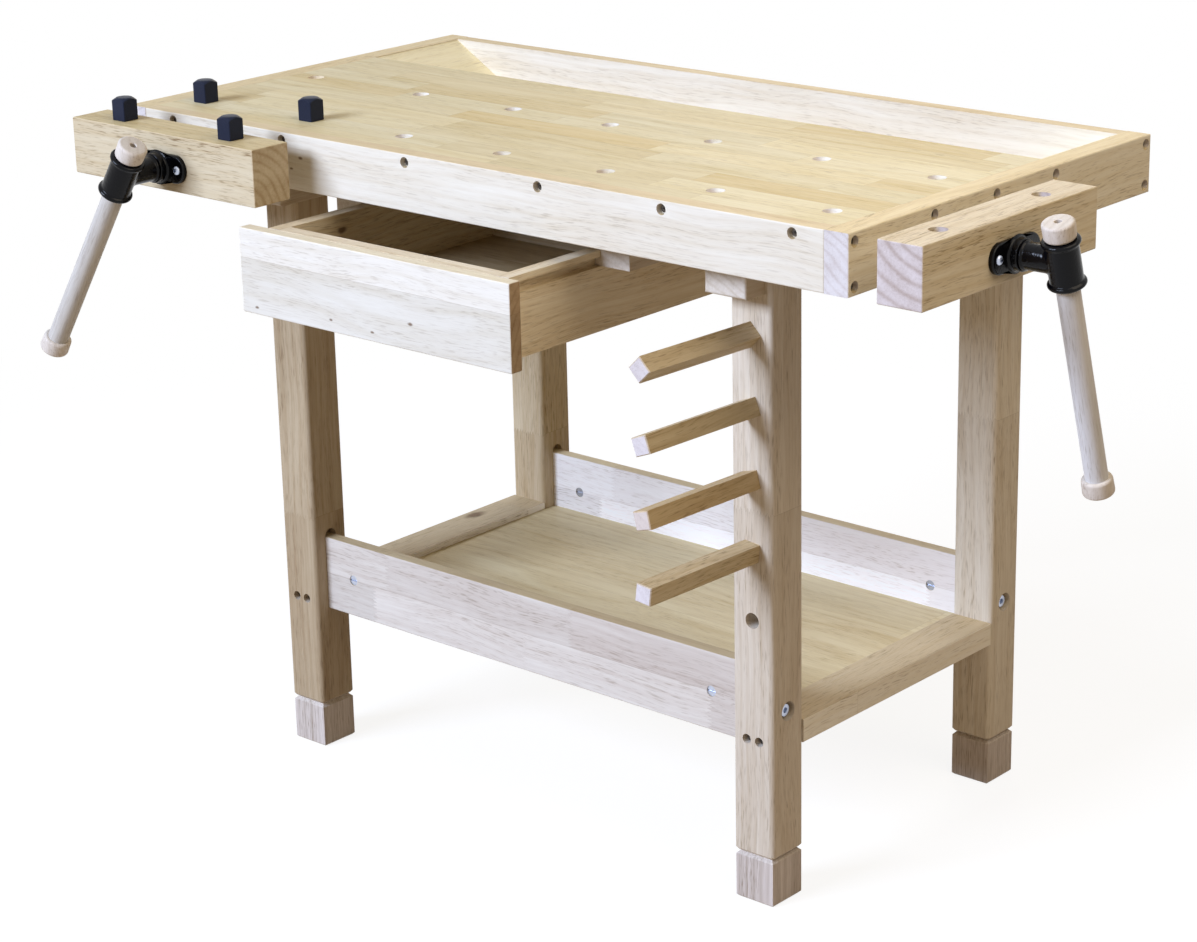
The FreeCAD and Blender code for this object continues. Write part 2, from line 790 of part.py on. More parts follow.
def vice_flange():
    """The oval casting on the jaw, with a collar that the neck turns in."""
    half = flange_length / 2.0 - flange_height / 2.0
    back = -y_axis * jaw_face
    plate = Part.makeBox(2.0 * half, flange_thickness, flange_height,
                         FreeCAD.Vector(-half, -jaw_face - flange_thickness, -flange_height / 2.0))
    for side in (-1, 1):
        centre = back + x_axis * (side * half)
        plate = plate.fuse(rod(centre, centre - y_axis * flange_thickness, flange_height))
    plate = plate.removeSplitter()
    plate = rounded_on_plane(plate, y_axis, -jaw_face - flange_thickness, outer_edge_round)
    collar = rod(back, back - y_axis * (flange_thickness + collar_length), collar_diameter)
    collar = rounded_on_plane(collar, y_axis, -jaw_face - flange_thickness - collar_length, outer_edge_round)
    plate = plate.fuse(collar)
    bore = neck_diameter + 2.0 * neck_fit
    plate = plate.cut(rod(back, back - y_axis * (flange_thickness + collar_length), bore))
    for place in flange_screw_offsets():
        plate = plate.cut(rod(place, place - y_axis * flange_thickness, flange_screw_shank))
    return plate


def flange_screws():
    """Two round-head screws."""
    screws = []
    for place in flange_screw_offsets():
        seat = place - y_axis * flange_thickness
        shank = rod(seat, place + y_axis * flange_screw_length, flange_screw_shank)
        half_width = flange_screw_head_diameter / 2.0
        radius = (half_width ** 2 + flange_screw_head_height ** 2) / (2.0 * flange_screw_head_height)
        centre = seat + y_axis * (radius - flange_screw_head_height)
        ball = Part.makeSphere(radius, centre)
        slab = rod(seat, seat - y_axis * flange_screw_head_height, flange_screw_head_diameter)
        screws.append(shank.fuse(ball.common(slab)))
    return screws


def guide_rods():
    rods = []
    for offset in vice_rod_offsets():
        start = offset - y_axis * (vice_gap + guide_rod_in_jaw)
        rods.append(rod(start, offset + y_axis * guide_rod_reach, guide_rod_diameter))
    return rods


def vice_spindle():
    start = -y_axis * (jaw_face + spindle_in_neck)
    return rod(start, y_axis * guide_rod_reach, spindle_diameter)


def handle_direction(tilt):
    """Unit vector up the handle: its foot leans toward minus X for a positive angle."""
    angle = math.radians(tilt)
    return FreeCAD.Vector(math.sin(angle), 0, math.cos(angle))


def vice_hub(tilt):
    """The cast neck with the cross sleeve that the handle slides in."""
    centre = -y_axis * hub_distance
    up = handle_direction(tilt)
    neck = rod(-y_axis * jaw_face, centre, neck_diameter)
    sleeve = rod(centre - up * (hub_length / 2.0), centre + up * (hub_length / 2.0), hub_diameter)
    hub = neck.fuse(sleeve)
    for end in (-1, 1):
        face = centre + up * (end * hub_length / 2.0)
        bead = rod(face, face - up * (end * hub_bead_length), hub_bead_diameter)
        bead = bead.makeFillet(hub_bead_length / 2.0 - touch, bead.Edges)
        hub = hub.fuse(bead)
    bore = rod(centre - up * hub_length, centre + up * hub_length, handle_diameter + 2.0 * handle_fit)
    hub = hub.cut(bore)
    start = -y_axis * jaw_face
    return hub.cut(rod(start, start - y_axis * spindle_in_neck, spindle_diameter))


def cap_starts():
    """Distances up the handle, from the hub's middle, of each cap's inner face."""
    upper = hub_length / 2.0 + handle_rest_gap
    lower = -(handle_reach - handle_cap_height)
    return upper, lower


def handle_bar(tilt):
    centre = -y_axis * hub_distance
    up = handle_direction(tilt)
    upper, lower = cap_starts()
    return rod(centre + up * (lower - handle_cap_socket), centre + up * (upper + handle_cap_socket),
               handle_diameter)


def handle_caps(tilt):
    """Turned end caps, bored for the handle and for the screw in their ends."""
    centre = -y_axis * hub_distance
    caps = []
    for start, end in zip(cap_starts(), (1, -1)):
        up = handle_direction(tilt) * end
        inner = centre + handle_direction(tilt) * start
        outer = inner + up * handle_cap_height
        cap = rod(inner, outer, handle_cap_diameter)
        cap = cap.makeFillet(handle_cap_round, cap.Edges)
        cap = cap.cut(rod(inner, inner + up * handle_cap_socket, handle_diameter))
        caps.append(cap.cut(rod(outer, outer - up * handle_cap_hole_depth, handle_cap_hole_diameter)))
    return caps


def nut_block(wall_thickness):
    """The block behind the bench's face with the thread and the rod guides."""
    corner = FreeCAD.Vector(-nut_block_length / 2.0, wall_thickness, -nut_block_below_axis)
    height = panel_bottom - vice_axis_height + nut_block_below_axis
    body = Part.makeBox(nut_block_length, nut_block_thickness, height, corner)
    run = y_axis * guide_rod_reach
    body = body.cut(rod(FreeCAD.Vector(0, 0, 0), run, spindle_diameter + 2.0 * spindle_fit))
    for offset in vice_rod_offsets():
        body = body.cut(rod(offset, offset + run, guide_rod_diameter + 2.0 * guide_rod_fit))
    return body


def save_vice(name, tilt, wall_thickness, turn, place):
    pieces = {"jaw": [vice_jaw()], "vice_flange": [vice_flange()], "vice_flange_screws": flange_screws()}
    pieces["vice_guide_rods"] = guide_rods()
    pieces["vice_spindle"] = [vice_spindle()]
    pieces["vice_hub"] = [vice_hub(tilt)]
    pieces["vice_handle"] = [handle_bar(tilt)]
    pieces["vice_handle_caps"] = handle_caps(tilt)
    pieces["vice_nut_block"] = [nut_block(wall_thickness)]
    for piece, solids in pieces.items():
        save(name + "_" + piece, [moved(solid, turn, place) for solid in solids])


# Bench dogs

def bench_dog(x, depth):
    """A square-headed peg that stands in a dog hole."""
    half = dog_head_side / 2.0
    seat = at(x, depth, bench_height)
    head = Part.makeBox(dog_head_side, dog_head_side, dog_head_height, seat - FreeCAD.Vector(half, half, 0))
    head = rounded_along(head, z_axis, dog_head_round)
    top_height = bench_height + dog_head_height
    top = edges_where(head, lambda point: abs(point.z - top_height) < touch)
    head = head.makeChamfer(dog_head_chamfer, top)
    shank = rod(seat - z_axis * dog_shank_length, seat, dog_hole_diameter - 2.0 * dog_fit)
    return head.fuse(shank)


def save_dogs():
    rows = {"top": front_row_depth, "jaw": -(vice_gap + jaw_thickness / 2.0)}
    for row, depth in rows.items():
        for index, column in enumerate(dog_columns()[:planted_dogs]):
            save(row + "_bench_dog_" + str(index + 1), [bench_dog(column, depth)])


# Write every node

save("front_apron", [front_apron()])
save("left_end_cap", [end_cap(-1)])
save("right_end_cap", [end_cap(1)])
save("back_rail", [back_rail()])
save("panel_staves", plain_staves())
save("front_hole_staves", hole_staves(front_row_depth))
save("rear_hole_staves", hole_staves(rear_row_depth))
save("apron_screws", board_screws(apron_screw_points(), y_axis))
cap_screws = board_screws(cap_screw_points(-1), x_axis) + board_screws(cap_screw_points(1), -x_axis)
save("end_cap_screws", cap_screws)
save("tray_floor", [tray_floor()])
save("tray_front_wall", [tray_front_wall()])
save("tray_ramps", [tray_ramp(-1), tray_ramp(1)])

save("front_left_leg", [leg(-1, front_leg_depth, front_leg_depth)])
save("front_right_leg", [front_right_leg()])
save("rear_left_leg", [leg(-1, rear_leg_depth, rear_leg_back_depth)])
save("rear_right_leg", [leg(1, rear_leg_depth, rear_leg_back_depth)])
save("foot_blocks", [foot_block(side, depth) for side in (-1, 1) for depth in (front_leg_depth, rear_leg_depth)])
for side, name in ((-1, "left"), (1, "right")):
    save(name + "_cross_rail", [cross_rail(side)])
    save(name + "_bearer", [bearer(side)])
    save(name + "_side_rail", [side_rail(side)])
    save(name + "_drawer_runner", [drawer_runner(side)])
    save("drawer_" + name + "_side", [drawer_side(side)])
for middle_depth, name in zip(leg_middle_depths(), ("front", "rear")):
    save(name + "_stretcher", [stretcher(middle_depth)])
save("stretcher_bolts", stretcher_hardware(stretcher_bolt))
save("barrel_nuts", stretcher_hardware(barrel_nut))
save("side_rail_screws", rail_screws())
save("shelf_panel", [shelf_panel()])
save("tool_pegs", tool_pegs())

save("drawer_front", [drawer_front()])
save("drawer_inner_front", [drawer_cross_board(drawer_box_front_depth)])
save("drawer_back", [drawer_cross_board(drawer_box_rear_depth - drawer_side_thickness)])
save("drawer_bottom", [drawer_bottom()])

save_vice("front", front_handle_tilt, apron_thickness, 0.0, front_vice_place)
save_vice("end", end_handle_tilt, end_cap_thickness, end_vice_turn, end_vice_place)
save_dogs()
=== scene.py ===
"""Looks of a children's woodworking bench: pale rubberwood, black castings, zinc screws and nylon dogs.

Lengths are in metres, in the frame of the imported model: X along the bench, Y to its back and Z up.
"""
import bmesh
import bpy
import json
import math
from mathutils import Matrix, Vector


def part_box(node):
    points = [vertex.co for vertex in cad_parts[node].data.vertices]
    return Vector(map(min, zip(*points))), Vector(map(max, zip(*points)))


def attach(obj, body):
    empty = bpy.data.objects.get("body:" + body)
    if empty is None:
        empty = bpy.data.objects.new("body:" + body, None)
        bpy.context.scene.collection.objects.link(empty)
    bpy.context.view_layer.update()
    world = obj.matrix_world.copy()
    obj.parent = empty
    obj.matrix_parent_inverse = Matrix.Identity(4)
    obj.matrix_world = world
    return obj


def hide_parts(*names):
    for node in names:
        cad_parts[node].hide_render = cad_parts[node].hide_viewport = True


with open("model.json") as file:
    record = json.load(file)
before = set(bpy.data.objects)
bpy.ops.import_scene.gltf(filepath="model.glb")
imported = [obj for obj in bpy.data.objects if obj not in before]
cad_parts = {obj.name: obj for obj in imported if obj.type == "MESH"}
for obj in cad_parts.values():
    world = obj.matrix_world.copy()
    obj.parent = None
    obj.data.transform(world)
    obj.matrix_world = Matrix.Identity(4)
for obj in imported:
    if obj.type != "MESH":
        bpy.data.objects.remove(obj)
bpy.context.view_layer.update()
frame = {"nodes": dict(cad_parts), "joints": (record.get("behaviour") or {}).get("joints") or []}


# Legs
# Four square legs of planed rubberwood, with eased edges and slots for the stretchers.
# The grain runs up each leg, through a finger joint or two, and each leg has its own tone, with painted light
# and shade mixed in.

mm = 0.001
# Each row of staves lies so many times its own place further along one line of blocks
row_stride = 37.7


def linear(hex_colour):
    """Turn an sRGB hex colour into the linear colour that a shader takes."""
    channels = [int(hex_colour[start:start + 2], 16) / 255.0 for start in (1, 3, 5)]
    bent = [c / 12.92 if c <= 0.04045 else ((c + 0.055) / 1.055) ** 2.4 for c in channels]
    return (bent[0], bent[1], bent[2], 1.0)


def add_node(tree, kind, sockets=None, **settings):
    """Add a node with its settings, and fill its inputs with values or links."""
    node = tree.nodes.new(kind)
    for setting, value in settings.items():
        setattr(node, setting, value)
    for socket, value in (sockets or {}).items():
        if isinstance(value, bpy.types.NodeSocket):
            tree.links.new(value, node.inputs[socket])
        else:
            node.inputs[socket].default_value = value
    return node


def new_material(name):
    """A material and its node tree, still empty."""
    material = bpy.data.materials.new(name)
    material.use_nodes = True
    material.node_tree.nodes.clear()
    return material, material.node_tree


def drawn_out(length_mm, width_mm):
    """The noise scales for marks of one length along the grain and one width across it."""
    return (1.0 / (length_mm * mm), 1.0 / (width_mm * mm), 1.0 / (width_mm * mm))


def rubberwood(name, axes, pale, brown, blush, end_pale="#E8E2D8", end_brown="#C9BCA8", painted_top_light="#FFFFFF",
               figure=0.5, streaks=0.4, rings=0.1, end_rings=0.15, pores=0.5, spread=0.05, blush_share=0.3,
               stave_mm=2000.0, block_mm=5000.0, tooth_mm=0.0, ring_mm=9.0, heart_mm=(60.0, 45.0),
               scatter=(3.0, 0.12, 0.12), wander_mm=22.0, shift_mm=(0.0, 0.0, 0.0), turn=(0.0, 0.0, 0.0),
               knots=()):
    """Planed rubberwood under thin lacquer: cream wood with soft brown figure and short dark pore lines.

    axes names the directions along the grain, across the board's face and through it. Boards glued up
    from blocks give a stave width and a block length, and each block then has its own tone and figure.
    A colour for the tops is multiplied into the faces that look up, as painted light and shade. A knot is a
    place and a radius in millimetres.
    """
    material, tree = new_material(name)
    surface = add_node(tree, "ShaderNodeTexCoord")
    board = add_node(tree, "ShaderNodeMapping", {
        "Vector": surface.outputs["Object"], "Location": [length * mm for length in shift_mm],
        "Rotation": turn,
    })
    parts = add_node(tree, "ShaderNodeSeparateXYZ", {0: board.outputs[0]})
    along, across, through = [parts.outputs[axis] for axis in axes]

    # Rows of staves, set far apart along one line, which is cut into blocks that meet in finger joints
    half_tooth = 2.1 * mm
    row = add_node(tree, "ShaderNodeMath", {0: across, 1: stave_mm * mm}, operation="SNAP")
    tooth = add_node(tree, "ShaderNodeMath", {0: across, 1: half_tooth}, operation="PINGPONG")
    jagged = add_node(tree, "ShaderNodeMath", {
        0: tooth.outputs[0], 1: tooth_mm * mm / half_tooth, 2: along,
    }, operation="MULTIPLY_ADD")
    run = add_node(tree, "ShaderNodeMath", {
        0: row.outputs[0], 1: row_stride, 2: jagged.outputs[0],
    }, operation="MULTIPLY_ADD")
    cells = {"W": run.outputs[0], "Scale": 1.0 / (block_mm * mm), "Randomness": 0.75}
    block = add_node(tree, "ShaderNodeTexVoronoi", cells, voronoi_dimensions="1D")
    block_end = add_node(tree, "ShaderNodeTexVoronoi", cells, voronoi_dimensions="1D",
                         feature="DISTANCE_TO_EDGE")
    chance = add_node(tree, "ShaderNodeSeparateColor", {0: block.outputs["Color"]})
    grain = add_node(tree, "ShaderNodeCombineXYZ", {0: along, 1: across, 2: through})
    scattered = add_node(tree, "ShaderNodeVectorMath", {
        0: block.outputs["Color"], 1: scatter, 2: grain.outputs[0],
    }, operation="MULTIPLY_ADD")

    # The grain wanders from side to side, so that lines along it bend as they do round old branches
    bend_place = add_node(tree, "ShaderNodeMapping", {
        "Vector": scattered.outputs[0], "Scale": drawn_out(210.0, 75.0),
    })
    bend = add_node(tree, "ShaderNodeTexNoise", {
        "Vector": bend_place.outputs[0], "Scale": 1.0, "Detail": 1.0,
    })
    flow = add_node(tree, "ShaderNodeVectorMath", {
        0: bend.outputs["Color"], 1: (0.0, wander_mm * mm, wander_mm * mm), 2: scattered.outputs[0],
    }, operation="MULTIPLY_ADD")

    # Sawn ends show where the surface faces along the grain
    facing = add_node(tree, "ShaderNodeSeparateXYZ", {0: surface.outputs["Normal"]})
    sawn = add_node(tree, "ShaderNodeMath", {0: facing.outputs[axes[0]]}, operation="ABSOLUTE")
    sawn = add_node(tree, "ShaderNodeMapRange", {
        "Value": sawn.outputs[0], "From Min": 0.6, "From Max": 0.9,
    })

    # Growth rings round the heart of the trunk; 0.314 of the wave's own unit makes one ring
    wave_per_ring = 0.314
    ring_place = add_node(tree, "ShaderNodeMapping", {
        "Vector": flow.outputs[0], "Location": (0.0, heart_mm[0] * mm, heart_mm[1] * mm),
        "Scale": (0.1, 1.0, 1.0),
    })
    growth = add_node(tree, "ShaderNodeTexWave", {
        "Vector": ring_place.outputs[0], "Scale": wave_per_ring / (ring_mm * mm), "Distortion": 1.6,
        "Detail": 3.0, "Detail Scale": 0.35, "Detail Roughness": 0.6,
    }, wave_type="RINGS", rings_direction="X")
    ring_share = add_node(tree, "ShaderNodeMapRange", {
        "Value": sawn.outputs[0], "To Min": rings, "To Max": end_rings,
    })
    late_wood = add_node(tree, "ShaderNodeMath", {0: growth.outputs["Fac"], 1: 3.0}, operation="POWER")
    late_wood_middle = 0.3
    ripple = add_node(tree, "ShaderNodeMath", {0: late_wood.outputs[0], 1: late_wood_middle},
                      operation="SUBTRACT")

    # Broad clouds of figure, fine fibre streaks and short pores, all drawn out along the grain.
    # Real pores are a quarter of a millimetre wide, and are drawn five times coarser to show
    marks = {}
    kinds = {
        "cloud": (230.0, 24.0, 4.0, 0.58),
        "fibre": (130.0, 2.8, 4.0, 0.62),
        "pore": (19.0, 1.3, 2.0, 0.5),
    }
    for mark, (length_mm, width_mm, detail, roughness) in kinds.items():
        stretched = add_node(tree, "ShaderNodeMapping", {
            "Vector": flow.outputs[0], "Scale": drawn_out(length_mm, width_mm),
        })
        noise = add_node(tree, "ShaderNodeTexNoise", {
            "Vector": stretched.outputs[0], "Scale": 1.0, "Detail": detail, "Roughness": roughness,
        })
        marks[mark] = noise.outputs["Fac"]
    tone = add_node(tree, "ShaderNodeMath", {0: marks["cloud"], 1: figure}, operation="MULTIPLY")
    for mark, share in ((marks["fibre"], streaks), (ripple.outputs[0], ring_share.outputs[0])):
        tone = add_node(tree, "ShaderNodeMath", {0: mark, 1: share, 2: tone.outputs[0]},
                        operation="MULTIPLY_ADD")
    palest = 0.28 * (figure + streaks)
    brownest = 0.76 * (figure + streaks)
    tone = add_node(tree, "ShaderNodeMapRange", {
        "Value": tone.outputs[0], "From Min": palest, "From Max": brownest,
    })
    side_colour = add_node(tree, "ShaderNodeMix", {
        0: tone.outputs[0], 6: linear(pale), 7: linear(brown),
    }, data_type="RGBA")
    end_colour = add_node(tree, "ShaderNodeMix", {
        0: tone.outputs[0], 6: linear(end_pale), 7: linear(end_brown),
    }, data_type="RGBA")
    colour = add_node(tree, "ShaderNodeMix", {
        0: sawn.outputs[0], 6: side_colour.outputs[2], 7: end_colour.outputs[2],
    }, data_type="RGBA")

    # Each block has its own lightness and blush, and faces that look up get a painted tint of light and shade
    lightness = add_node(tree, "ShaderNodeMapRange", {
        "Value": chance.outputs["Green"], "To Min": 1.0 - spread, "To Max": 1.0 + spread,
    })
    colour = add_node(tree, "ShaderNodeHueSaturation", {
        "Value": lightness.outputs[0], "Color": colour.outputs[2],
    })
    pink = add_node(tree, "ShaderNodeMapRange", {
        "Value": chance.outputs["Red"], "From Min": 0.35, "From Max": 0.95, "To Max": blush_share,
    })
    # Painted light and shade: a mask of the faces that look up, so that the tops are tinted by how light
    # falls on them
    painted_top_light_mask = add_node(tree, "ShaderNodeMapRange", {
        "Value": facing.outputs["Z"], "From Min": 0.6, "From Max": 0.95,
    })

    # Pores come in bands, and show less on sawn ends
    pore = add_node(tree, "ShaderNodeMapRange", {
        "Value": marks["pore"], "From Min": 0.53, "From Max": 0.70, "To Max": pores,
    })
    band = add_node(tree, "ShaderNodeMapRange", {
        "Value": marks["cloud"], "From Min": 0.36, "From Max": 0.62, "To Min": 0.15,
    })
    planed = add_node(tree, "ShaderNodeMapRange", {"Value": sawn.outputs[0], "To Min": 1.0, "To Max": 0.3})
    for share in (band, planed):
        pore = add_node(tree, "ShaderNodeMath", {0: pore.outputs[0], 1: share.outputs[0]},
                        operation="MULTIPLY")

    # Glue lines between staves and at the finger joints
    glue_line = 0.5 * mm
    glue_shade = 0.3
    stave_edge = add_node(tree, "ShaderNodeMath", {0: across, 1: stave_mm * mm / 2.0}, operation="PINGPONG")
    stave_edge = add_node(tree, "ShaderNodeMapRange", {
        "Value": stave_edge.outputs[0], "From Max": glue_line, "To Min": glue_shade, "To Max": 0.0,
    })
    joint = add_node(tree, "ShaderNodeMapRange", {
        "Value": block_end.outputs["Distance"], "From Max": glue_line / (block_mm * mm),
        "To Min": glue_shade, "To Max": 0.0,
    })
    seam = add_node(tree, "ShaderNodeMath", {0: stave_edge.outputs[0], 1: joint.outputs[0]},
                    operation="MAXIMUM")
    # Real blush, pores, glue lines and knots, together with the painted light and shade of the tops
    stains_and_painted_light = [(pink, blush), (painted_top_light_mask, painted_top_light), (pore, "#9C8668"), (seam, "#9A8160")]

    # Knots, dark at the heart, ragged at the rim and twice as long as wide
    ragged = add_node(tree, "ShaderNodeTexNoise", {
        "Vector": surface.outputs["Object"], "Scale": 1.0 / (11.0 * mm),
    })
    for x, y, z, radius in knots:
        wavy = add_node(tree, "ShaderNodeVectorMath", {
            0: ragged.outputs["Color"], 1: [radius * mm] * 3, 2: surface.outputs["Object"],
        }, operation="MULTIPLY_ADD")
        offset = add_node(tree, "ShaderNodeVectorMath", {
            0: wavy.outputs[0], 1: [(length + radius / 2.0) * mm for length in (x, y, z)],
        }, operation="SUBTRACT")
        squeezed = add_node(tree, "ShaderNodeVectorMath", {
            0: offset.outputs[0], 1: [0.5 if axis == axes[0] else 1.0 for axis in "XYZ"],
        }, operation="MULTIPLY")
        reach = add_node(tree, "ShaderNodeVectorMath", {0: squeezed.outputs[0]}, operation="LENGTH")
        knot = add_node(tree, "ShaderNodeMapRange", {
            "Value": reach.outputs["Value"], "From Min": 0.35 * radius * mm, "From Max": 1.3 * radius * mm,
            "To Min": 0.85, "To Max": 0.0,
        }, interpolation_type="SMOOTHSTEP")
        stains_and_painted_light.append((knot, "#7A5C3E"))

    wood = colour.outputs[0]
    for share, tint_colour in stains_and_painted_light:
        tinted = add_node(tree, "ShaderNodeMix", {
            0: share.outputs[0], 6: wood, 7: linear(tint_colour),
        }, data_type="RGBA", blend_type="MULTIPLY")
        wood = tinted.outputs[2]
    satin = add_node(tree, "ShaderNodeMapRange", {
        "Value": marks["fibre"], "From Min": 0.3, "From Max": 0.7, "To Min": 0.44, "To Max": 0.6,
    })
    pore_depth = -1.5
    hollow = add_node(tree, "ShaderNodeMath", {
        0: pore.outputs[0], 1: pore_depth, 2: marks["fibre"],
    }, operation="MULTIPLY_ADD")
    relief = add_node(tree, "ShaderNodeBump", {
        "Height": hollow.outputs[0], "Strength": 0.25, "Distance": 0.3 * mm,
    })
    shader = add_node(tree, "ShaderNodeBsdfPrincipled", {
        "Base Color": wood, "Roughness": satin.outputs[0], "IOR": 1.45, "Specular IOR Level": 0.3,
        "Normal": relief.outputs[0],
    })
    add_node(tree, "ShaderNodeOutputMaterial", {"Surface": shader.outputs[0]})
    return material


def dress(material, *names):
    """Give CAD nodes a material."""
    for name in names:
        piece = frame["nodes"][name]
        if not piece.material_slots:
            piece.data.materials.append(material)
        for slot in piece.material_slots:
            slot.material = material


# Painted light and shade in these tones: the rear right leg is painted paler to make up for the shade it
# stands in, and the left legs are darker partly as painted shade
leg_tones_and_painted_light = {
    "front_left_leg": ("#C2B296", "#A08868"),
    "front_right_leg": ("#E2D8C8", "#C2B096"),
    "rear_left_leg": ("#D8CAAE", "#B69E76"),
    "rear_right_leg": ("#EAE2D2", "#CCBCA2"),
}
for leg, (pale, brown) in leg_tones_and_painted_light.items():
    dress(rubberwood("rubberwood_" + leg, "ZXY", pale, brown, "#EADCCC", streaks=0.6, pores=0.6,
                     block_mm=560.0, tooth_mm=5.0), leg)


# Foot blocks
# Short blocks of a greyer hardwood under the legs, chamfered at both ends and glued on.
# The grain runs upright, with close dark fibre lines.

dress(rubberwood("grey_hardwood", "ZXY", "#E2D8D0", "#B0A294", "#E8DEDC", figure=0.3, streaks=0.9,
                 pores=0.7, wander_mm=8.0), "foot_blocks")


# Cross rails and bearers
# Boards across the tops of each pair of legs, which carry the bench top.
# They are rubberwood with the grain from front to back.

dress(rubberwood("rubberwood_cross_rail", "YZX", "#E0D4C0", "#C4AE8C", "#EAD8D2"),
      "left_cross_rail", "right_cross_rail", "left_bearer", "right_bearer")


# Side rails and shelf
# Two rails between the front and rear legs, grooved for a thin shelf of broad glued staves.
# Rubberwood again; the left rail has a knot on its top.

# Painted light and shade: the sides are painted near white to make up for the shade they stand in, and the
# tops are painted darker
dress(rubberwood("rubberwood_side_rail", "YXZ", "#FFFAEE", "#F4EAD4", "#F8F2E8", painted_top_light="#D4C8B0",
                 streaks=0.5, pores=0.6, block_mm=330.0, tooth_mm=6.0,
                 knots=((-344.0, 83.0, 196.0, 8.0),)), "left_side_rail", "right_side_rail")
dress(rubberwood("rubberwood_shelf", "XYZ", "#E6DAB4", "#CCB88A", "#EADCD0", figure=0.7, streaks=0.3,
                 pores=0.4, stave_mm=95.0, spread=0.04, wander_mm=30.0), "shelf_panel")


# Stretchers
# Deep boards between the legs at the front and back, made up from short lengths with finger joints.
# The lengths differ, from cream to a pinkish white, and the joints show as rows of fine teeth.

# Painted light and shade: the rear stretcher is painted far paler than the front one to make up for the shade
# under the top, and the top edges are painted darker
stretcher_tones_and_painted_light = {
    "front_stretcher": ("#E0DAD0", "#C8BCB0"),
    "rear_stretcher": ("#FFFDFA", "#F4EEEA"),
}
for stretcher, (pale, brown) in stretcher_tones_and_painted_light.items():
    dress(rubberwood("rubberwood_" + stretcher, "XZY", pale, brown, "#E4D0CA", painted_top_light="#E6DAB6", figure=0.6,
                     pores=0.45, spread=0.07, blush_share=0.7, stave_mm=44.0, block_mm=240.0,
                     tooth_mm=7.0, shift_mm=(0.0, 0.0, 6.0)), stretcher)


# Bolts and barrel nuts
# Socket-head bolts through the legs, and slotted barrel nuts in the stretchers that they draw up.
# Turned steel with bright zinc: bluish silver with a soft, slightly uneven sheen.

def mottled(name, dark, light, mottle_mm, detail, rough, bump=0.0, bump_mm=0.0, metallic=0.0, specular=0.5):
    """A plain finish whose colour, sheen and surface all vary a little in one fine mottle.

    rough is the roughness at the darkest and at the palest spots.
    """
    material, tree = new_material(name)
    surface = add_node(tree, "ShaderNodeTexCoord")
    mottle = add_node(tree, "ShaderNodeTexNoise", {
        "Vector": surface.outputs["Object"], "Scale": 1.0 / (mottle_mm * mm), "Detail": detail,
    })
    colour = add_node(tree, "ShaderNodeMix", {
        0: mottle.outputs["Fac"], 6: linear(dark), 7: linear(light),
    }, data_type="RGBA")
    sheen = add_node(tree, "ShaderNodeMapRange", {
        "Value": mottle.outputs["Fac"], "To Min": rough[0], "To Max": rough[1],
    })
    shader = add_node(tree, "ShaderNodeBsdfPrincipled", {
        "Base Color": colour.outputs[2], "Roughness": sheen.outputs[0], "Metallic": metallic,
        "Specular IOR Level": specular,
    })
    add_node(tree, "ShaderNodeOutputMaterial", {"Surface": shader.outputs[0]})
    if bump:
        relief = add_node(tree, "ShaderNodeBump", {
            "Height": mottle.outputs["Fac"], "Strength": bump, "Distance": bump_mm * mm,
        })
        tree.links.new(relief.outputs[0], shader.inputs["Normal"])
    return material


zinc = mottled("bright_zinc_plated_steel", "#A9B1C4", "#D2D8E6", 2.5, 3.0, rough=(0.28, 0.48), metallic=1.0)
dress(zinc, "stretcher_bolts", "barrel_nuts")


# Screws of the side rails
# Countersunk screws with a cross drive, driven through the legs into the ends of the side rails.
# Zinc-plated steel painted dark grey, little brighter than the wood, as painted shade of the round pocket
# that each head lies deep in.

def screw_places(name):
    """The middle of each screw head of a CAD node, and the way that the screw is driven."""
    source = bmesh.new()
    source.from_mesh(frame["nodes"][name].data)
    bmesh.ops.remove_doubles(source, verts=source.verts, dist=0.01 * mm)
    waiting = set(source.verts)
    places = []
    while waiting:
        edge_of_growth = [waiting.pop()]
        solid = []
        while edge_of_growth:
            vertex = edge_of_growth.pop()
            solid.append(vertex.co.copy())
            for edge in vertex.link_edges:
                other = edge.other_vert(vertex)
                if other in waiting:
                    waiting.remove(other)
                    edge_of_growth.append(other)
        low = Vector([min(corner[axis] for corner in solid) for axis in range(3)])
        high = Vector([max(corner[axis] for corner in solid) for axis in range(3)])
        size = high - low
        longest = max(range(3), key=lambda axis: size[axis])
        middle = (low + high) / 2.0
        inward = Vector((0.0, 0.0, 0.0))
        inward[longest] = -1.0 if middle[longest] > 0.0 else 1.0
        places.append((middle - inward * size[longest] / 2.0, inward))
    source.free()
    return sorted(places, key=lambda place: tuple(place[0]))


def sized_tree(name, sizes):
    """A geometry node tree with an input for each size and one for the finish."""
    tree = bpy.data.node_groups.new(name, "GeometryNodeTree")
    tree.interface.new_socket("Geometry", in_out="OUTPUT", socket_type="NodeSocketGeometry")
    tree.interface.new_socket("Geometry", in_out="INPUT", socket_type="NodeSocketGeometry")
    for size in sizes:
        tree.interface.new_socket(size, in_out="INPUT", socket_type="NodeSocketFloat")
    tree.interface.new_socket("Finish", in_out="INPUT", socket_type="NodeSocketMaterial")
    return tree


def finish_tree(tree, geometry, finish):
    """End a tree with plain meshes that have their material."""
    real = add_node(tree, "GeometryNodeRealizeInstances", {0: geometry})
    finished = add_node(tree, "GeometryNodeSetMaterial", {0: real.outputs[0], "Material": finish})
    add_node(tree, "NodeGroupOutput", {0: finished.outputs[0]})


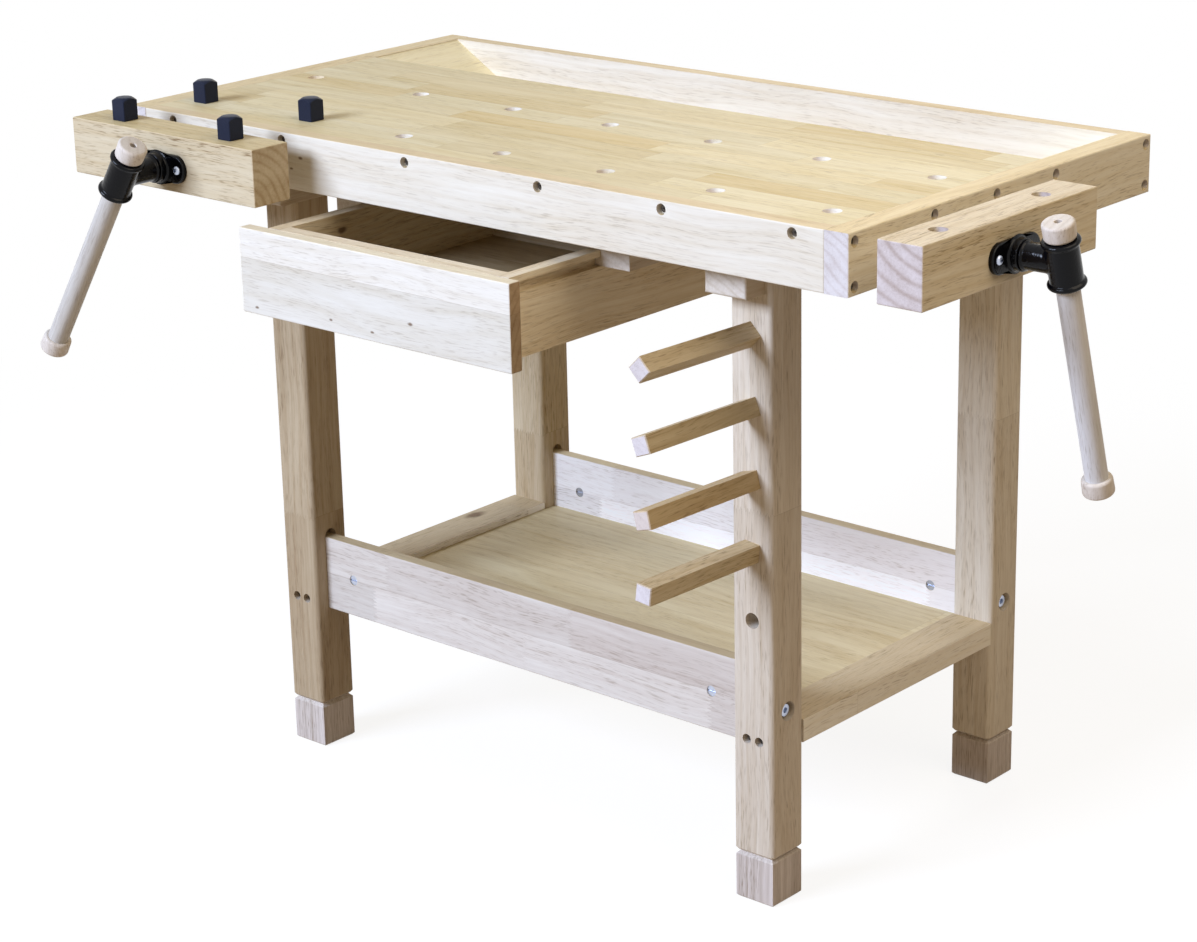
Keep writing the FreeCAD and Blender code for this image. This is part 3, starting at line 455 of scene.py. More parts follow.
def screw_tree(name, rounded_head):
    """Geometry nodes that set a cross-drive screw at each point, along the point's inward attribute."""
    tree = sized_tree(name, ("Head diameter", "Head height", "Shank diameter", "Length", "Drive width",
                             "Drive slot"))
    given = add_node(tree, "NodeGroupInput").outputs
    halves = {}
    for size in ("Head diameter", "Shank diameter", "Length"):
        half = add_node(tree, "ShaderNodeMath", {0: given[size], 1: 0.5}, operation="MULTIPLY")
        halves[size] = half.outputs[0]
    if rounded_head:
        ball = add_node(tree, "GeometryNodeMeshUVSphere", {"Segments": 40, "Rings": 20, "Radius": 1.0})
        squash = add_node(tree, "ShaderNodeCombineXYZ", {
            0: halves["Head diameter"], 1: halves["Head diameter"], 2: given["Head height"],
        })
        dome = add_node(tree, "GeometryNodeTransform", {0: ball.outputs[0], "Scale": squash.outputs[0]})
        head = dome.outputs[0]
    else:
        cone = add_node(tree, "GeometryNodeMeshCone", {
            "Vertices": 40, "Radius Top": halves["Shank diameter"],
            "Radius Bottom": halves["Head diameter"], "Depth": given["Head height"],
        })
        head = cone.outputs["Mesh"]

    # The drive is cut from the top of the head, which on a dome lies a head height above its middle
    drive_share = 2.6 if rounded_head else 1.2
    drive_depth = add_node(tree, "ShaderNodeMath", {0: given["Head height"], 1: drive_share},
                           operation="MULTIPLY")
    slot_size = add_node(tree, "ShaderNodeCombineXYZ", {
        0: given["Drive width"], 1: given["Drive slot"], 2: drive_depth.outputs[0],
    })
    slot = add_node(tree, "GeometryNodeMeshCube", {"Size": slot_size.outputs[0]})
    if rounded_head:
        slot_middle = -1.7
        top = add_node(tree, "ShaderNodeMath", {0: given["Head height"], 1: slot_middle},
                       operation="MULTIPLY")
        lift = add_node(tree, "ShaderNodeCombineXYZ", {2: top.outputs[0]})
        slot = add_node(tree, "GeometryNodeTransform", {0: slot.outputs[0], "Translation": lift.outputs[0]})
    for turn in (0.0, math.pi / 2.0):
        arm = add_node(tree, "GeometryNodeTransform", {0: slot.outputs[0], "Rotation": (0.0, 0.0, turn)})
        cut = add_node(tree, "GeometryNodeMeshBoolean", {0: head, 1: arm.outputs[0]},
                       operation="DIFFERENCE")
        head = cut.outputs[0]

    # The shank starts a little below the drive
    shank_start = (0.0, 0.0, 3.0 * mm)
    shank = add_node(tree, "GeometryNodeMeshCylinder", {
        "Vertices": 24, "Radius": halves["Shank diameter"], "Depth": given["Length"],
    })
    down = add_node(tree, "ShaderNodeCombineXYZ", {2: halves["Length"]})
    sink = add_node(tree, "ShaderNodeVectorMath", {0: down.outputs[0], 1: shank_start}, operation="ADD")
    shank = add_node(tree, "GeometryNodeTransform", {
        0: shank.outputs["Mesh"], "Translation": sink.outputs[0],
    })
    screw = add_node(tree, "GeometryNodeJoinGeometry", {0: head})
    tree.links.new(shank.outputs[0], screw.inputs[0])
    inward = add_node(tree, "GeometryNodeInputNamedAttribute", {"Name": "inward"}, data_type="FLOAT_VECTOR")
    aim = add_node(tree, "FunctionNodeAlignRotationToVector", {"Vector": inward.outputs[0]}, axis="Z")
    set_in = add_node(tree, "GeometryNodeInstanceOnPoints", {
        "Points": given["Geometry"], "Instance": screw.outputs[0], "Rotation": aim.outputs[0],
    })
    finish_tree(tree, set_in.outputs[0], given["Finish"])
    return tree


def apply_modifiers(piece):
    """Turn a piece and its modifiers into a plain mesh."""
    scene_now = bpy.context.evaluated_depsgraph_get()
    mesh = bpy.data.meshes.new_from_object(piece.evaluated_get(scene_now))
    piece.modifiers.clear()
    piece.data = mesh


def grow(name, mesh, tree, sizes):
    """Run geometry nodes on a mesh and keep the result as a plain mesh."""
    piece = bpy.data.objects.new(name, mesh)
    bpy.context.scene.collection.objects.link(piece)
    modifier = piece.modifiers.new("build", "NODES")
    modifier.node_group = tree
    for item in tree.interface.items_tree:
        if item.in_out == "INPUT" and item.name in sizes:
            modifier[item.identifier] = sizes[item.name]
    apply_modifiers(piece)
    return piece


def soften(mesh, degrees):
    """Shade a mesh smoothly, apart from edges that bend by more than an angle."""
    mesh.shade_smooth()
    mesh.set_sharp_from_angle(angle=math.radians(degrees))


def settle(piece, body, slot, *nodes):
    """Let a piece ride on a body, in place of any CAD nodes that are named."""
    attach(piece, body)
    if nodes:
        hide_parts(*nodes)


def screws(name, tree, places, sizes, body, *nodes):
    """Screws of one body in place of the CAD nodes that hold them."""
    mesh = bpy.data.meshes.new(name)
    mesh.from_pydata([place for place, inward in places], [], [])
    ways = mesh.attributes.new("inward", "FLOAT_VECTOR", "POINT")
    for index, (place, inward) in enumerate(places):
        ways.data[index].vector = inward
    piece = grow(name, mesh, tree, sizes)
    soften(piece.data, 35.0)
    settle(piece, body, "zinc_steel", *nodes)


# Dark grey zinc: painted shade of the pockets and holes that the screw heads lie in
zinc_with_painted_shade = mottled("zinc_plated_steel_with_painted_shade", "#4E4A46", "#7C7670", 2.5, 3.0, rough=(0.28, 0.48),
                    metallic=1.0)
countersunk = screw_tree("countersunk_screw", rounded_head=False)
rail_screw = {
    "Head diameter": 7.6 * mm, "Head height": 3.2 * mm, "Shank diameter": 4.5 * mm, "Length": 60.0 * mm,
    "Drive width": 4.0 * mm, "Drive slot": 1.1 * mm, "Finish": zinc_with_painted_shade,
}
screws("rail_screws", countersunk, screw_places("side_rail_screws"), rail_screw, "bench",
       "side_rail_screws")


# Tool pegs
# Four square pegs with round tenons, glued into the right front leg at slightly different turns.
# Brownish rubberwood offcuts with the grain along them; one has a knot near its free end.

peg_row = 66.0
dress(rubberwood("rubberwood_peg", "YZX", "#E0D2B0", "#B8A076", "#EADAC2", end_pale="#EAE6EA",
                 end_brown="#D6D0D4", figure=0.6, streaks=0.5, pores=0.8, spread=0.08, blush_share=0.7,
                 stave_mm=peg_row, block_mm=2600.0, shift_mm=(0.0, 0.0, 20.0),
                 knots=((342.0, -337.0, 555.0, 4.0),)), "tool_pegs")


# Laminated panel
# The working surface: narrow rubberwood staves glued side by side, each made of short blocks.
# Sanded and lacquered, so that blocks of slightly different tone meet at fine glue lines.

row_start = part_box("front_hole_staves")[0].y / mm
# Painted light and shade: the walls of the dog holes are painted near white as if lit, and the tops are
# painted a darker tan
dress(rubberwood("rubberwood_panel", "XYZ", "#FBF8F2", "#E6DAB9", "#EBDCB8", end_pale="#FBF6F4",
                 end_brown="#EEE6E2", painted_top_light="#ECE5C8", figure=0.6, streaks=0.35, pores=0.4, spread=0.06,
                 blush_share=0.7, stave_mm=40.0, block_mm=290.0, shift_mm=(0.0, -row_start, 0.0)),
      "panel_staves", "front_hole_staves", "rear_hole_staves")


# Edge boards
# The apron at the front, the end caps and the back rail frame the panel.
# Wide clear boards of the palest rubberwood, planed, with eased outer edges.

apron_knots = ((-224.0, -288.0, 728.0, 1.8), (-239.0, -288.0, 715.0, 1.4))
# The top edges of the apron, back rail and end caps are painted a darker cream, as painted light and shade
dress(rubberwood("rubberwood_apron", "XZY", "#F2EDDF", "#DCD0B8", "#F0E6E2", painted_top_light="#F4E6C6", figure=0.7,
                 streaks=0.3, pores=0.35, knots=apron_knots), "front_apron", "back_rail")
dress(rubberwood("rubberwood_end_cap", "YZX", "#F4EDDA", "#DECFAE", "#F2E8DC", end_pale="#E8E4E4",
                 end_brown="#CEC4C0", painted_top_light="#FAF0D4", end_rings=0.2, figure=0.6, pores=0.6),
      "left_end_cap", "right_end_cap")


# Screws of the edge boards
# Countersunk screws through the apron into the panel, and through the end caps into the long boards.
# Zinc-plated steel painted dark grey as painted shade, driven down to the bottom of round pockets that look
# dark.

board_screw = dict(rail_screw)
board_screw["Head diameter"] = 8.4 * mm
board_screw["Length"] = 40.0 * mm
driven_down = 2.0 * mm
board_places = []
for place, inward in screw_places("apron_screws") + screw_places("end_cap_screws"):
    board_places.append((place + inward * driven_down, inward))
screws("board_screws", countersunk, board_places, board_screw, "bench", "apron_screws", "end_cap_screws")


# Tool tray
# A sunken tray behind the panel: a thin floor, a wall under the panel's edge, and a ramp at each end.
# Pale rubberwood boards; the grain runs along the bench, but on the ramps from front to back.

dress(rubberwood("rubberwood_tray", "XYZ", "#EEE4CA", "#D6C49C", "#F0E0CC", figure=0.6, pores=0.35),
      "tray_floor", "tray_front_wall")
# The ramps are painted paler and yellower than the tray, as painted light to make up for the shade they lie
# in
dress(rubberwood("rubberwood_ramp", "YXZ", "#FFF6D2", "#F2E4B6", "#F4ECD8", figure=0.6, pores=0.3),
      "tray_ramps")


# Drawer
# A front of two boards glued edge to edge, screwed to a box of plain boards with a let-in bottom.
# The front is nearly white rubberwood with pin knots, and the box is browner.

# Each board of the front is one block long, and the shift keeps joints between blocks off both
front_board = 60.0
front_block = front_board * row_stride
front_shift = 886.0
drawer_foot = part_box("drawer_front")[0].z / mm
drawer_face = -376.0
pin_knots = ((-208.0, 586.0, 1.6), (-96.0, 591.0, 1.4), (19.0, 606.0, 2.0), (-36.0, 588.0, 1.4))
# Painted light and shade: the sawn ends are painted dark brown as painted shade on the right end, and the top
# edge is painted a warmer cream
dress(rubberwood("rubberwood_drawer_front", "XZY", "#F2EEE4", "#DDD4C2", "#E6E6E2", end_pale="#B49A78",
                 end_brown="#8A6E4E", painted_top_light="#FFF8E4", figure=0.7, streaks=0.3, pores=0.35, spread=0.04,
                 blush_share=0.9, stave_mm=front_board, block_mm=front_block,
                 shift_mm=(front_shift, 0.0, -drawer_foot),
                 knots=[(x, drawer_face, z, radius) for x, z, radius in pin_knots]), "drawer_front")
dress(rubberwood("rubberwood_drawer_box", "YZX", "#F4EAD2", "#D4BE96", "#EADAC8", streaks=0.5, pores=0.6,
                 knots=((-184.0, -270.0, 652.0, 4.0),)), "drawer_left_side", "drawer_right_side")
dress(rubberwood("rubberwood_drawer_ends", "XZY", "#F4EAD2", "#D4BE96", "#EADAC8", streaks=0.5, pores=0.6),
      "drawer_inner_front", "drawer_back")
# The bottom is painted much browner than the box, as painted shade inside the drawer
dress(rubberwood("rubberwood_drawer_bottom", "XYZ", "#C4B08C", "#9C845E", "#EADAC8", figure=0.6,
                 stave_mm=110.0), "drawer_bottom")


# Drawer runners
# Two blocks screwed up under the panel, each with a tongue in the groove of a drawer side.
# Rubberwood, with the grain from front to back.

dress(rubberwood("rubberwood_runner", "YZX", "#DED4C4", "#BAA68A", "#EADCDC", streaks=0.5),
      "left_drawer_runner", "right_drawer_runner")


# Vice jaws and nut blocks
# Thick jaws bored for the screw, the guide rods and two dogs, and nut blocks behind the bench's faces.
# Solid rubberwood from near the heart of the tree, so the rings show as wide arcs at the sawn ends.

# The sawn ends are darker partly as end grain and partly as painted shade on the right end, and the top is
# painted a warmer cream as painted light
dress(rubberwood("rubberwood_front_jaw", "XZY", "#E0D4B8", "#C6B18A", "#EADCC8", end_pale="#CEBE9E",
                 end_brown="#A68C68", painted_top_light="#FFFBE4", figure=0.45, streaks=0.3, pores=0.9, rings=0.05,
                 ring_mm=10.0, heart_mm=(-676.0, 386.0), scatter=(0.0, 0.0, 0.0),
                 wander_mm=12.0), "front_jaw", "front_vice_nut_block")
dress(rubberwood("rubberwood_end_jaw", "YZX", "#EADFC6", "#CEBA92", "#EADCD4", end_pale="#DCD2D0",
                 end_brown="#BAAAA2", figure=0.4, pores=0.8, rings=0.12, end_rings=0.26,
                 ring_mm=12.5, heart_mm=(-800.0, -600.0), scatter=(0.0, 0.0, 0.0), wander_mm=12.0),
      "end_jaw", "end_vice_nut_block")


# Vice castings
# A cast-iron flange screwed to each jaw, and a turning hub with a long neck and a sleeve for the handle.
# Gloss black enamel over the rough casting: deep black, sharp highlights, and a faint orange peel.

ring_points = 96


def stack(name, rings, looped, smooth_angle=35.0):
    """A skin over a stack of rings with equal numbers of points, closed to a loop or capped at both ends."""
    mesh = bpy.data.meshes.new(name)
    count = len(rings[0])
    faces = []
    last = len(rings) if looped else len(rings) - 1
    for level in range(last):
        low = level * count
        high = ((level + 1) % len(rings)) * count
        for index in range(count):
            after = (index + 1) % count
            faces.append((low + index, low + after, high + after, high + index))
    if not looped:
        faces.append(tuple(reversed(range(count))))
        faces.append(tuple(range((len(rings) - 1) * count, len(rings) * count)))
    mesh.from_pydata([point for ring in rings for point in ring], [], faces)
    skin = bmesh.new()
    skin.from_mesh(mesh)
    bmesh.ops.recalc_face_normals(skin, faces=skin.faces)
    skin.to_mesh(mesh)
    skin.free()
    soften(mesh, smooth_angle)
    piece = bpy.data.objects.new(name, mesh)
    bpy.context.scene.collection.objects.link(piece)
    return piece


def join(first, second):
    """Take the mesh of a second piece into the first."""
    whole = bmesh.new()
    for piece in (first, second):
        whole.from_mesh(piece.data)
    whole.to_mesh(first.data)
    whole.free()
    bpy.data.objects.remove(second)


def pose_on(place, way):
    """A matrix that stands the Z axis on a place, along a direction."""
    return Matrix.Translation(place) @ way.to_track_quat("Z", "Y").to_matrix().to_4x4()


def oval(stand, straight, radius, height):
    """A ring of points: a circle, or one stretched into an oval by a straight half length along X."""
    points = []
    for index in range(ring_points):
        angle = 2.0 * math.pi * (index + 0.5) / ring_points
        x = radius * math.cos(angle)
        x += math.copysign(straight, x)
        points.append(stand @ Vector((x, radius * math.sin(angle), height)))
    return points


def quarter_turn(steps):
    """At even steps along a rounded edge, how far it is from its side and top, as shares of its radius."""
    angles = [math.pi / 2.0 * step / steps for step in range(steps + 1)]
    return [(1.0 - math.cos(angle), 1.0 - math.sin(angle)) for angle in angles]


flange_thickness = 5.0 * mm


def flange(name, stand):
    """The oval plate with a rounded edge, swept up into the collar that the neck turns in."""
    straight = 25.0 * mm
    edge = 15.5 * mm
    edge_round = 2.0 * mm
    collar = 16.0 * mm
    collar_top = 14.0 * mm
    sweep = 3.0 * mm
    lip = 1.2 * mm
    bore = 13.7 * mm
    steps = 6
    rings = [oval(stand, straight, edge, 0.0)]
    for inset, drop in quarter_turn(steps):
        rings.append(oval(stand, straight, edge - edge_round * inset, flange_thickness - edge_round * drop))
    for rise, spread in quarter_turn(steps):
        rings.append(oval(stand, 0.0, collar + sweep * spread, flange_thickness + sweep * rise))
    for inset, drop in quarter_turn(steps):
        rings.append(oval(stand, 0.0, collar - lip * inset, collar_top - lip * drop))
    rings.append(oval(stand, 0.0, bore, collar_top))
    rings.append(oval(stand, 0.0, bore, 0.0))
    return stack(name, rings, looped=True, smooth_angle=50.0)


def hub(name, centre, out, up, neck_length):
    """The cross sleeve with a rolled bead at each end, grown together with the neck."""
    half = 24.5 * mm
    tube = 16.5 * mm
    bead = 2.75 * mm
    bead_sunk = 0.25 * mm
    bore = 11.7 * mm
    neck = 13.4 * mm
    collar_gap = 14.3 * mm
    steps = 8
    stand = pose_on(centre, up)
    rings = []
    for end in (-1.0, 1.0):
        for step in range(steps + 1):
            angle = math.pi * step / steps - math.pi / 2.0
            height = end * (half - bead) + bead * math.sin(angle)
            rings.append(oval(stand, 0.0, tube - bead_sunk + bead * math.cos(angle), height))
    rings.append(oval(stand, 0.0, bore, half))
    rings.append(oval(stand, 0.0, bore, -half))
    sleeve = stack(name, rings, looped=True)

    # The neck starts inside the sleeve's wall, on a saddle that keeps out of the bore
    side = up.cross(out)
    saddle = 14.0 * mm
    neck_start = 20.0 * mm
    levels = [(neck * share, None) for share in (0.03, 0.4, 0.75, 1.0)]
    levels.append((neck, neck_start))
    ring_bead = 1.5 * mm
    bead_middle = neck_length - collar_gap - ring_bead
    for step in range(steps + 1):
        angle = math.pi * step / steps
        levels.append((neck + ring_bead * math.sin(angle), bead_middle - ring_bead * math.cos(angle)))
    levels.append((neck, neck_length))
    rings = []
    for radius, distance in levels:
        ring = []
        for index in range(ring_points):
            angle = 2.0 * math.pi * index / ring_points
            across = radius * math.sin(angle)
            reach = distance or math.sqrt(saddle ** 2 - across ** 2)
            ring.append(centre + up * (radius * math.cos(angle)) + side * across - out * reach)
        rings.append(ring)
    join(sleeve, stack(name + "_stem", rings, looped=False))
    remesh = sleeve.modifiers.new("cast", "REMESH")
    remesh.mode = "VOXEL"
    remesh.voxel_size = 0.7 * mm
    apply_modifiers(sleeve)

    # Fill the corner where the neck meets the sleeve, as a casting has it
    corner_reach = 6.0 * mm
    corner = sleeve.vertex_groups.new(name="corner")
    for vertex in sleeve.data.vertices:
        offset = vertex.co - centre
        to_sleeve = (offset - up * offset.dot(up)).length - tube
        to_neck = (offset - out * offset.dot(out)).length - neck
        weight = 1.0 - math.hypot(to_sleeve, to_neck) / corner_reach
        if weight > 0.0 and offset.dot(out) < 0.0:
            corner.add([vertex.index], weight, "REPLACE")
    fill = sleeve.modifiers.new("fill", "SMOOTH")
    fill.vertex_group = "corner"
    fill.factor = 0.6
    fill.iterations = 40
    even = sleeve.modifiers.new("even", "SMOOTH")
    even.factor = 0.5
    even.iterations = 4
    apply_modifiers(sleeve)
    sleeve.vertex_groups.clear()
    sleeve.data.shade_smooth()
    return sleeve


joints = {joint["name"]: joint for joint in frame["joints"]}
black_enamel = mottled("gloss_black_enamel", "#040406", "#0B0B10", 2.2, 2.0, rough=(0.06, 0.16), bump=0.5,
                       bump_mm=0.5, specular=0.16)
round_head = screw_tree("round_head_screw", rounded_head=True)
flange_screw = {
    "Head diameter": 9.5 * mm, "Head height": 3.0 * mm, "Shank diameter": 4.4 * mm, "Length": 26.0 * mm,
    "Drive width": 4.6 * mm, "Drive slot": 1.2 * mm, "Finish": zinc,
}
flange_screw_reach = 30.0 * mm
outward = {"front": Vector((0.0, -1.0, 0.0)), "end": Vector((1.0, 0.0, 0.0))}
for vice, out in outward.items():
    centre = Vector(joints[vice + "_screw_turn"]["pos_m"])
    up = Vector(joints[vice + "_handle_slide"]["axis"])
    low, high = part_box(vice + "_jaw")
    face = high.x if vice == "end" else -low.y
    neck_length = centre.dot(out) - face
    seat = centre - out * neck_length
    along_jaw = Vector((0.0, 0.0, 1.0)).cross(out)
    stand = Matrix.Translation(seat) @ Matrix((along_jaw, out.cross(along_jaw), out)).transposed().to_4x4()
    plate = flange(vice + "_flange_casting", stand)
    plate.data.materials.append(black_enamel)
    settle(plate, vice + "_jaw", "black_casting", vice + "_vice_flange")
    sleeve = hub(vice + "_hub_casting", centre, out, up, neck_length)
    sleeve.data.materials.append(black_enamel)
    settle(sleeve, vice + "_screw", "black_casting", vice + "_vice_hub")
    heads = []
    for side in (-1.0, 1.0):
        heads.append((seat + out * flange_thickness + along_jaw * (side * flange_screw_reach), -out))
    screws(vice + "_flange_screws", round_head, heads, flange_screw, vice + "_jaw",
           vice + "_vice_flange_screws")


# Vice screws and guide rods
# A steel screw with a rounded thread of 7 mm pitch, made fast in the hub, and two plain rods in the jaw.
# Bright zinc-plated steel, as the bolts are.

def thread_tree():
    """Geometry nodes for a bar with a helical rib, standing on the origin along Z."""
    tree = sized_tree("threaded_bar", ("Core radius", "Rib radius", "Pitch", "Length"))
    given = add_node(tree, "NodeGroupInput").outputs
    turns = add_node(tree, "ShaderNodeMath", {0: given["Length"], 1: given["Pitch"]}, operation="DIVIDE")
    helix = add_node(tree, "GeometryNodeCurveSpiral", {
        "Resolution": 40, "Rotations": turns.outputs[0], "Start Radius": given["Core radius"],
        "End Radius": given["Core radius"], "Height": given["Length"],
    })
    section = add_node(tree, "GeometryNodeCurvePrimitiveCircle", {
        "Resolution": 10, "Radius": given["Rib radius"],
    })
    rib = add_node(tree, "GeometryNodeCurveToMesh", {
        "Curve": helix.outputs[0], "Profile Curve": section.outputs[0], "Fill Caps": True,
    })
    core = add_node(tree, "GeometryNodeMeshCylinder", {
        "Vertices": 48, "Radius": given["Core radius"], "Depth": given["Length"],
    })
    half = add_node(tree, "ShaderNodeMath", {0: given["Length"], 1: 0.5}, operation="MULTIPLY")
    rise = add_node(tree, "ShaderNodeCombineXYZ", {2: half.outputs[0]})
    core = add_node(tree, "GeometryNodeTransform", {
        0: core.outputs["Mesh"], "Translation": rise.outputs[0],
    })
    bar = add_node(tree, "GeometryNodeJoinGeometry", {0: rib.outputs[0]})
    tree.links.new(core.outputs[0], bar.inputs[0])
    finish_tree(tree, bar.outputs[0], given["Finish"])
    return tree


threaded_bar = thread_tree()
for vice, out in outward.items():
    low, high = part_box(vice + "_vice_spindle")
    middle = (low + high) / 2.0
    length = abs((high - low).dot(out))
    bar_sizes = {
        "Core radius": 7.5 * mm, "Rib radius": 1.5 * mm, "Pitch": 7.0 * mm, "Length": length, "Finish": zinc,
    }
    bar = grow(vice + "_vice_screw", bpy.data.meshes.new(vice + "_vice_screw"), threaded_bar, bar_sizes)
    bar.data.transform(pose_on(middle - out * (length / 2.0), out))
    soften(bar.data, 50.0)
    settle(bar, vice + "_screw", "zinc_steel", vice + "_vice_spindle")
    dress(zinc, vice + "_vice_guide_rods")


# Vice handles
# A turned bar slides through each hub, with a turned cap at each end, held by a screw in its bored end.
# Pale close-grained wood, sanded and unvarnished: greyish white bars and slightly pink caps.

bar_tones = {"front": ("#D8D4CC", "#B8B0A6"), "end": ("#ECEBEA", "#D2CECA")}
for vice, (pale, brown) in bar_tones.items():
    up = Vector(joints[vice + "_handle_slide"]["axis"])
    upright = up.rotation_difference(Vector((0.0, 0.0, 1.0))).to_euler()
    dress(rubberwood("turned_wood_" + vice + "_bar", "ZXY", pale, brown, "#ECE6E4", figure=0.6, streaks=0.6,
                     pores=0.4, turn=upright), vice + "_vice_handle")
cap_wood = rubberwood("turned_wood_cap", "ZXY", "#E8DFD4", "#D0C4B6", "#EEE2DA", end_pale="#E6E0D6",
                      end_brown="#D0C6B8", streaks=0.3)
cap_height = 18.0 * mm


def handle_cap(name, stand):
    """A turned cap: a socket below, rounded shoulders, and a screw hole in its end."""
    radius = 16.0 * mm
    foot_radius = 15.6 * mm
    foot_round = 3.2 * mm
    crown_round = 3.0 * mm
    socket = 11.6 * mm
    socket_depth = 11.0 * mm
    hole = 3.5 * mm
    hole_chamfer = 0.5 * mm
    hole_floor = cap_height - 5.4 * mm
    pin = 0.1 * mm
    steps = 8
    rings = [oval(stand, 0.0, socket, 0.0)]
    for rise, inset in quarter_turn(steps):
        rings.append(oval(stand, 0.0, foot_radius - foot_round * inset, foot_round * rise))
    for inset, drop in quarter_turn(steps):
        rings.append(oval(stand, 0.0, radius - crown_round * inset, cap_height - crown_round * drop))
    inside = ((hole + hole_chamfer, cap_height), (hole, cap_height - hole_chamfer), (hole, hole_floor),
              (pin, hole_floor), (pin, socket_depth), (socket, socket_depth))
    rings += [oval(stand, 0.0, wall, height) for wall, height in inside]
    return stack(name, rings, looped=True, smooth_angle=40.0)


# The cap screws share the dark grey of painted shade, for the holes they lie in
cap_screw = {
    "Head diameter": 6.4 * mm, "Head height": 2.4 * mm, "Shank diameter": 3.5 * mm, "Length": 6.0 * mm,
    "Drive width": 3.6 * mm, "Drive slot": 1.0 * mm, "Finish": zinc_with_painted_shade,
}
cap_screw_depth = 5.0 * mm
for vice in outward:
    up = Vector(joints[vice + "_handle_slide"]["axis"])
    centre = Vector(joints[vice + "_screw_turn"]["pos_m"])
    solid = frame["nodes"][vice + "_vice_handle_caps"]
    heights = [(solid.matrix_world @ vertex.co - centre).dot(up) for vertex in solid.data.vertices]
    caps = []
    heads = []
    for end, way in ((max(heights), up), (min(heights), -up)):
        tip = centre + up * end
        caps.append(handle_cap(vice + "_cap", pose_on(tip - way * cap_height, way)))
        heads.append((tip - way * cap_screw_depth, -way))
    pair = caps[0]
    join(pair, caps[1])
    pair.name = vice + "_handle_end_caps"
    pair.data.materials.append(cap_wood)
    settle(pair, vice + "_handle", "turned_wood", vice + "_vice_handle_caps")
    screws(vice + "_handle_cap_screws", countersunk, heads, cap_screw, vice + "_handle")


# Bench dogs
# Loose pegs that stand in the dog holes: a square head with bevelled top edges on a round shank.
# Moulded in nylon: navy-black, with a dull satin sheen and a fine grain from the mould.

def square(half, corner):
    """Points round a square with rounded corners, from the middle of its right side."""
    straight = half - corner
    steps = 8
    shares = [(step + 0.5) / steps for step in range(steps)]
    quarter = [(half, straight * share) for share in shares]
    for share in shares:
        angle = math.pi / 2.0 * share
        quarter.append((straight + corner * math.cos(angle), straight + corner * math.sin(angle)))
    quarter += [(straight * (1.0 - share), half) for share in shares]
    points = []
    for along, across in ((1.0, 0.0), (0.0, 1.0), (-1.0, 0.0), (0.0, -1.0)):
        points += [(x * along - y * across, x * across + y * along) for x, y in quarter]
    return points


def bench_dog(name, low, high):
    """A dog that fills the box of its CAD node: a chamfered shank, and a head turned to a cone at its top."""
    head_height = 25.0 * mm
    head_chamfer = 0.5 * mm
    head_start = 0.6 * mm
    corner = 1.3 * mm
    crown = 8.5 * mm
    slope = 0.65
    soft_edge = 0.25 * mm
    shank = 9.4 * mm
    tip = 8.4 * mm
    tip_length = 1.5 * mm
    half = (high.x - low.x) / 2.0
    seat = Vector(((low.x + high.x) / 2.0, (low.y + high.y) / 2.0, high.z - head_height))
    stand = Matrix.Translation(seat)
    foot = low.z - seat.z
    levels = [oval(stand, 0.0, tip, foot), oval(stand, 0.0, shank, foot + tip_length)]
    levels.append(oval(stand, 0.0, shank, 0.0))
    for inset, height in ((head_chamfer, 0.0), (0.0, head_start)):
        ring = square(half - inset, corner)
        levels.append([stand @ Vector((x, y, height)) for x, y in ring])

    # The cone cuts lower at the corners of the head than at the middle of each side
    for inset, sink in ((0.0, soft_edge), (soft_edge, 0.0)):
        ring = []
        for x, y in square(half - inset, corner):
            height = head_height - slope * (math.hypot(x, y) - crown) - sink
            ring.append(stand @ Vector((x, y, height)))
        levels.append(ring)
    levels.append(oval(stand, 0.0, crown + soft_edge, head_height - slope * soft_edge))
    levels.append(oval(stand, 0.0, crown - soft_edge, head_height))
    return stack(name, levels, looped=False, smooth_angle=30.0)


dog_black = mottled("navy_black_nylon", "#10141F", "#252C42", 0.9, 3.0, rough=(0.3, 0.5), bump=0.3,
                    bump_mm=0.15, specular=0.14)
for place in ("top", "jaw"):
    for number in ("1", "2"):
        node = place + "_bench_dog_" + number
        dog = bench_dog(node + "_moulding", *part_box(node))
        dog.data.materials.append(dog_black)
        settle(dog, place + "_dog_" + number, "dark_plastic", node)


# Floor, light and camera
# A plain white floor that keeps a soft shadow, a cool wide lamp in front, and warm ones at the side and back.
# The camera stands where the photograph was taken from.

pure_white = (1.0, 1.0, 1.0, 1.0)


def white_to_sight(tree, lit, white):
    """Show the white shader to the rays that see it, directly or in metal, and the lit one to the rest."""
    rays = add_node(tree, "ShaderNodeLightPath")
    shown = rays.outputs["Is Camera Ray"]
    for kind in ("Is Glossy Ray", "Is Transmission Ray"):
        either = add_node(tree, "ShaderNodeMath", {0: shown, 1: rays.outputs[kind]}, operation="MAXIMUM")
        shown = either.outputs[0]
    return add_node(tree, "ShaderNodeMixShader", {0: shown, 1: lit.outputs[0], 2: white.outputs[0]})


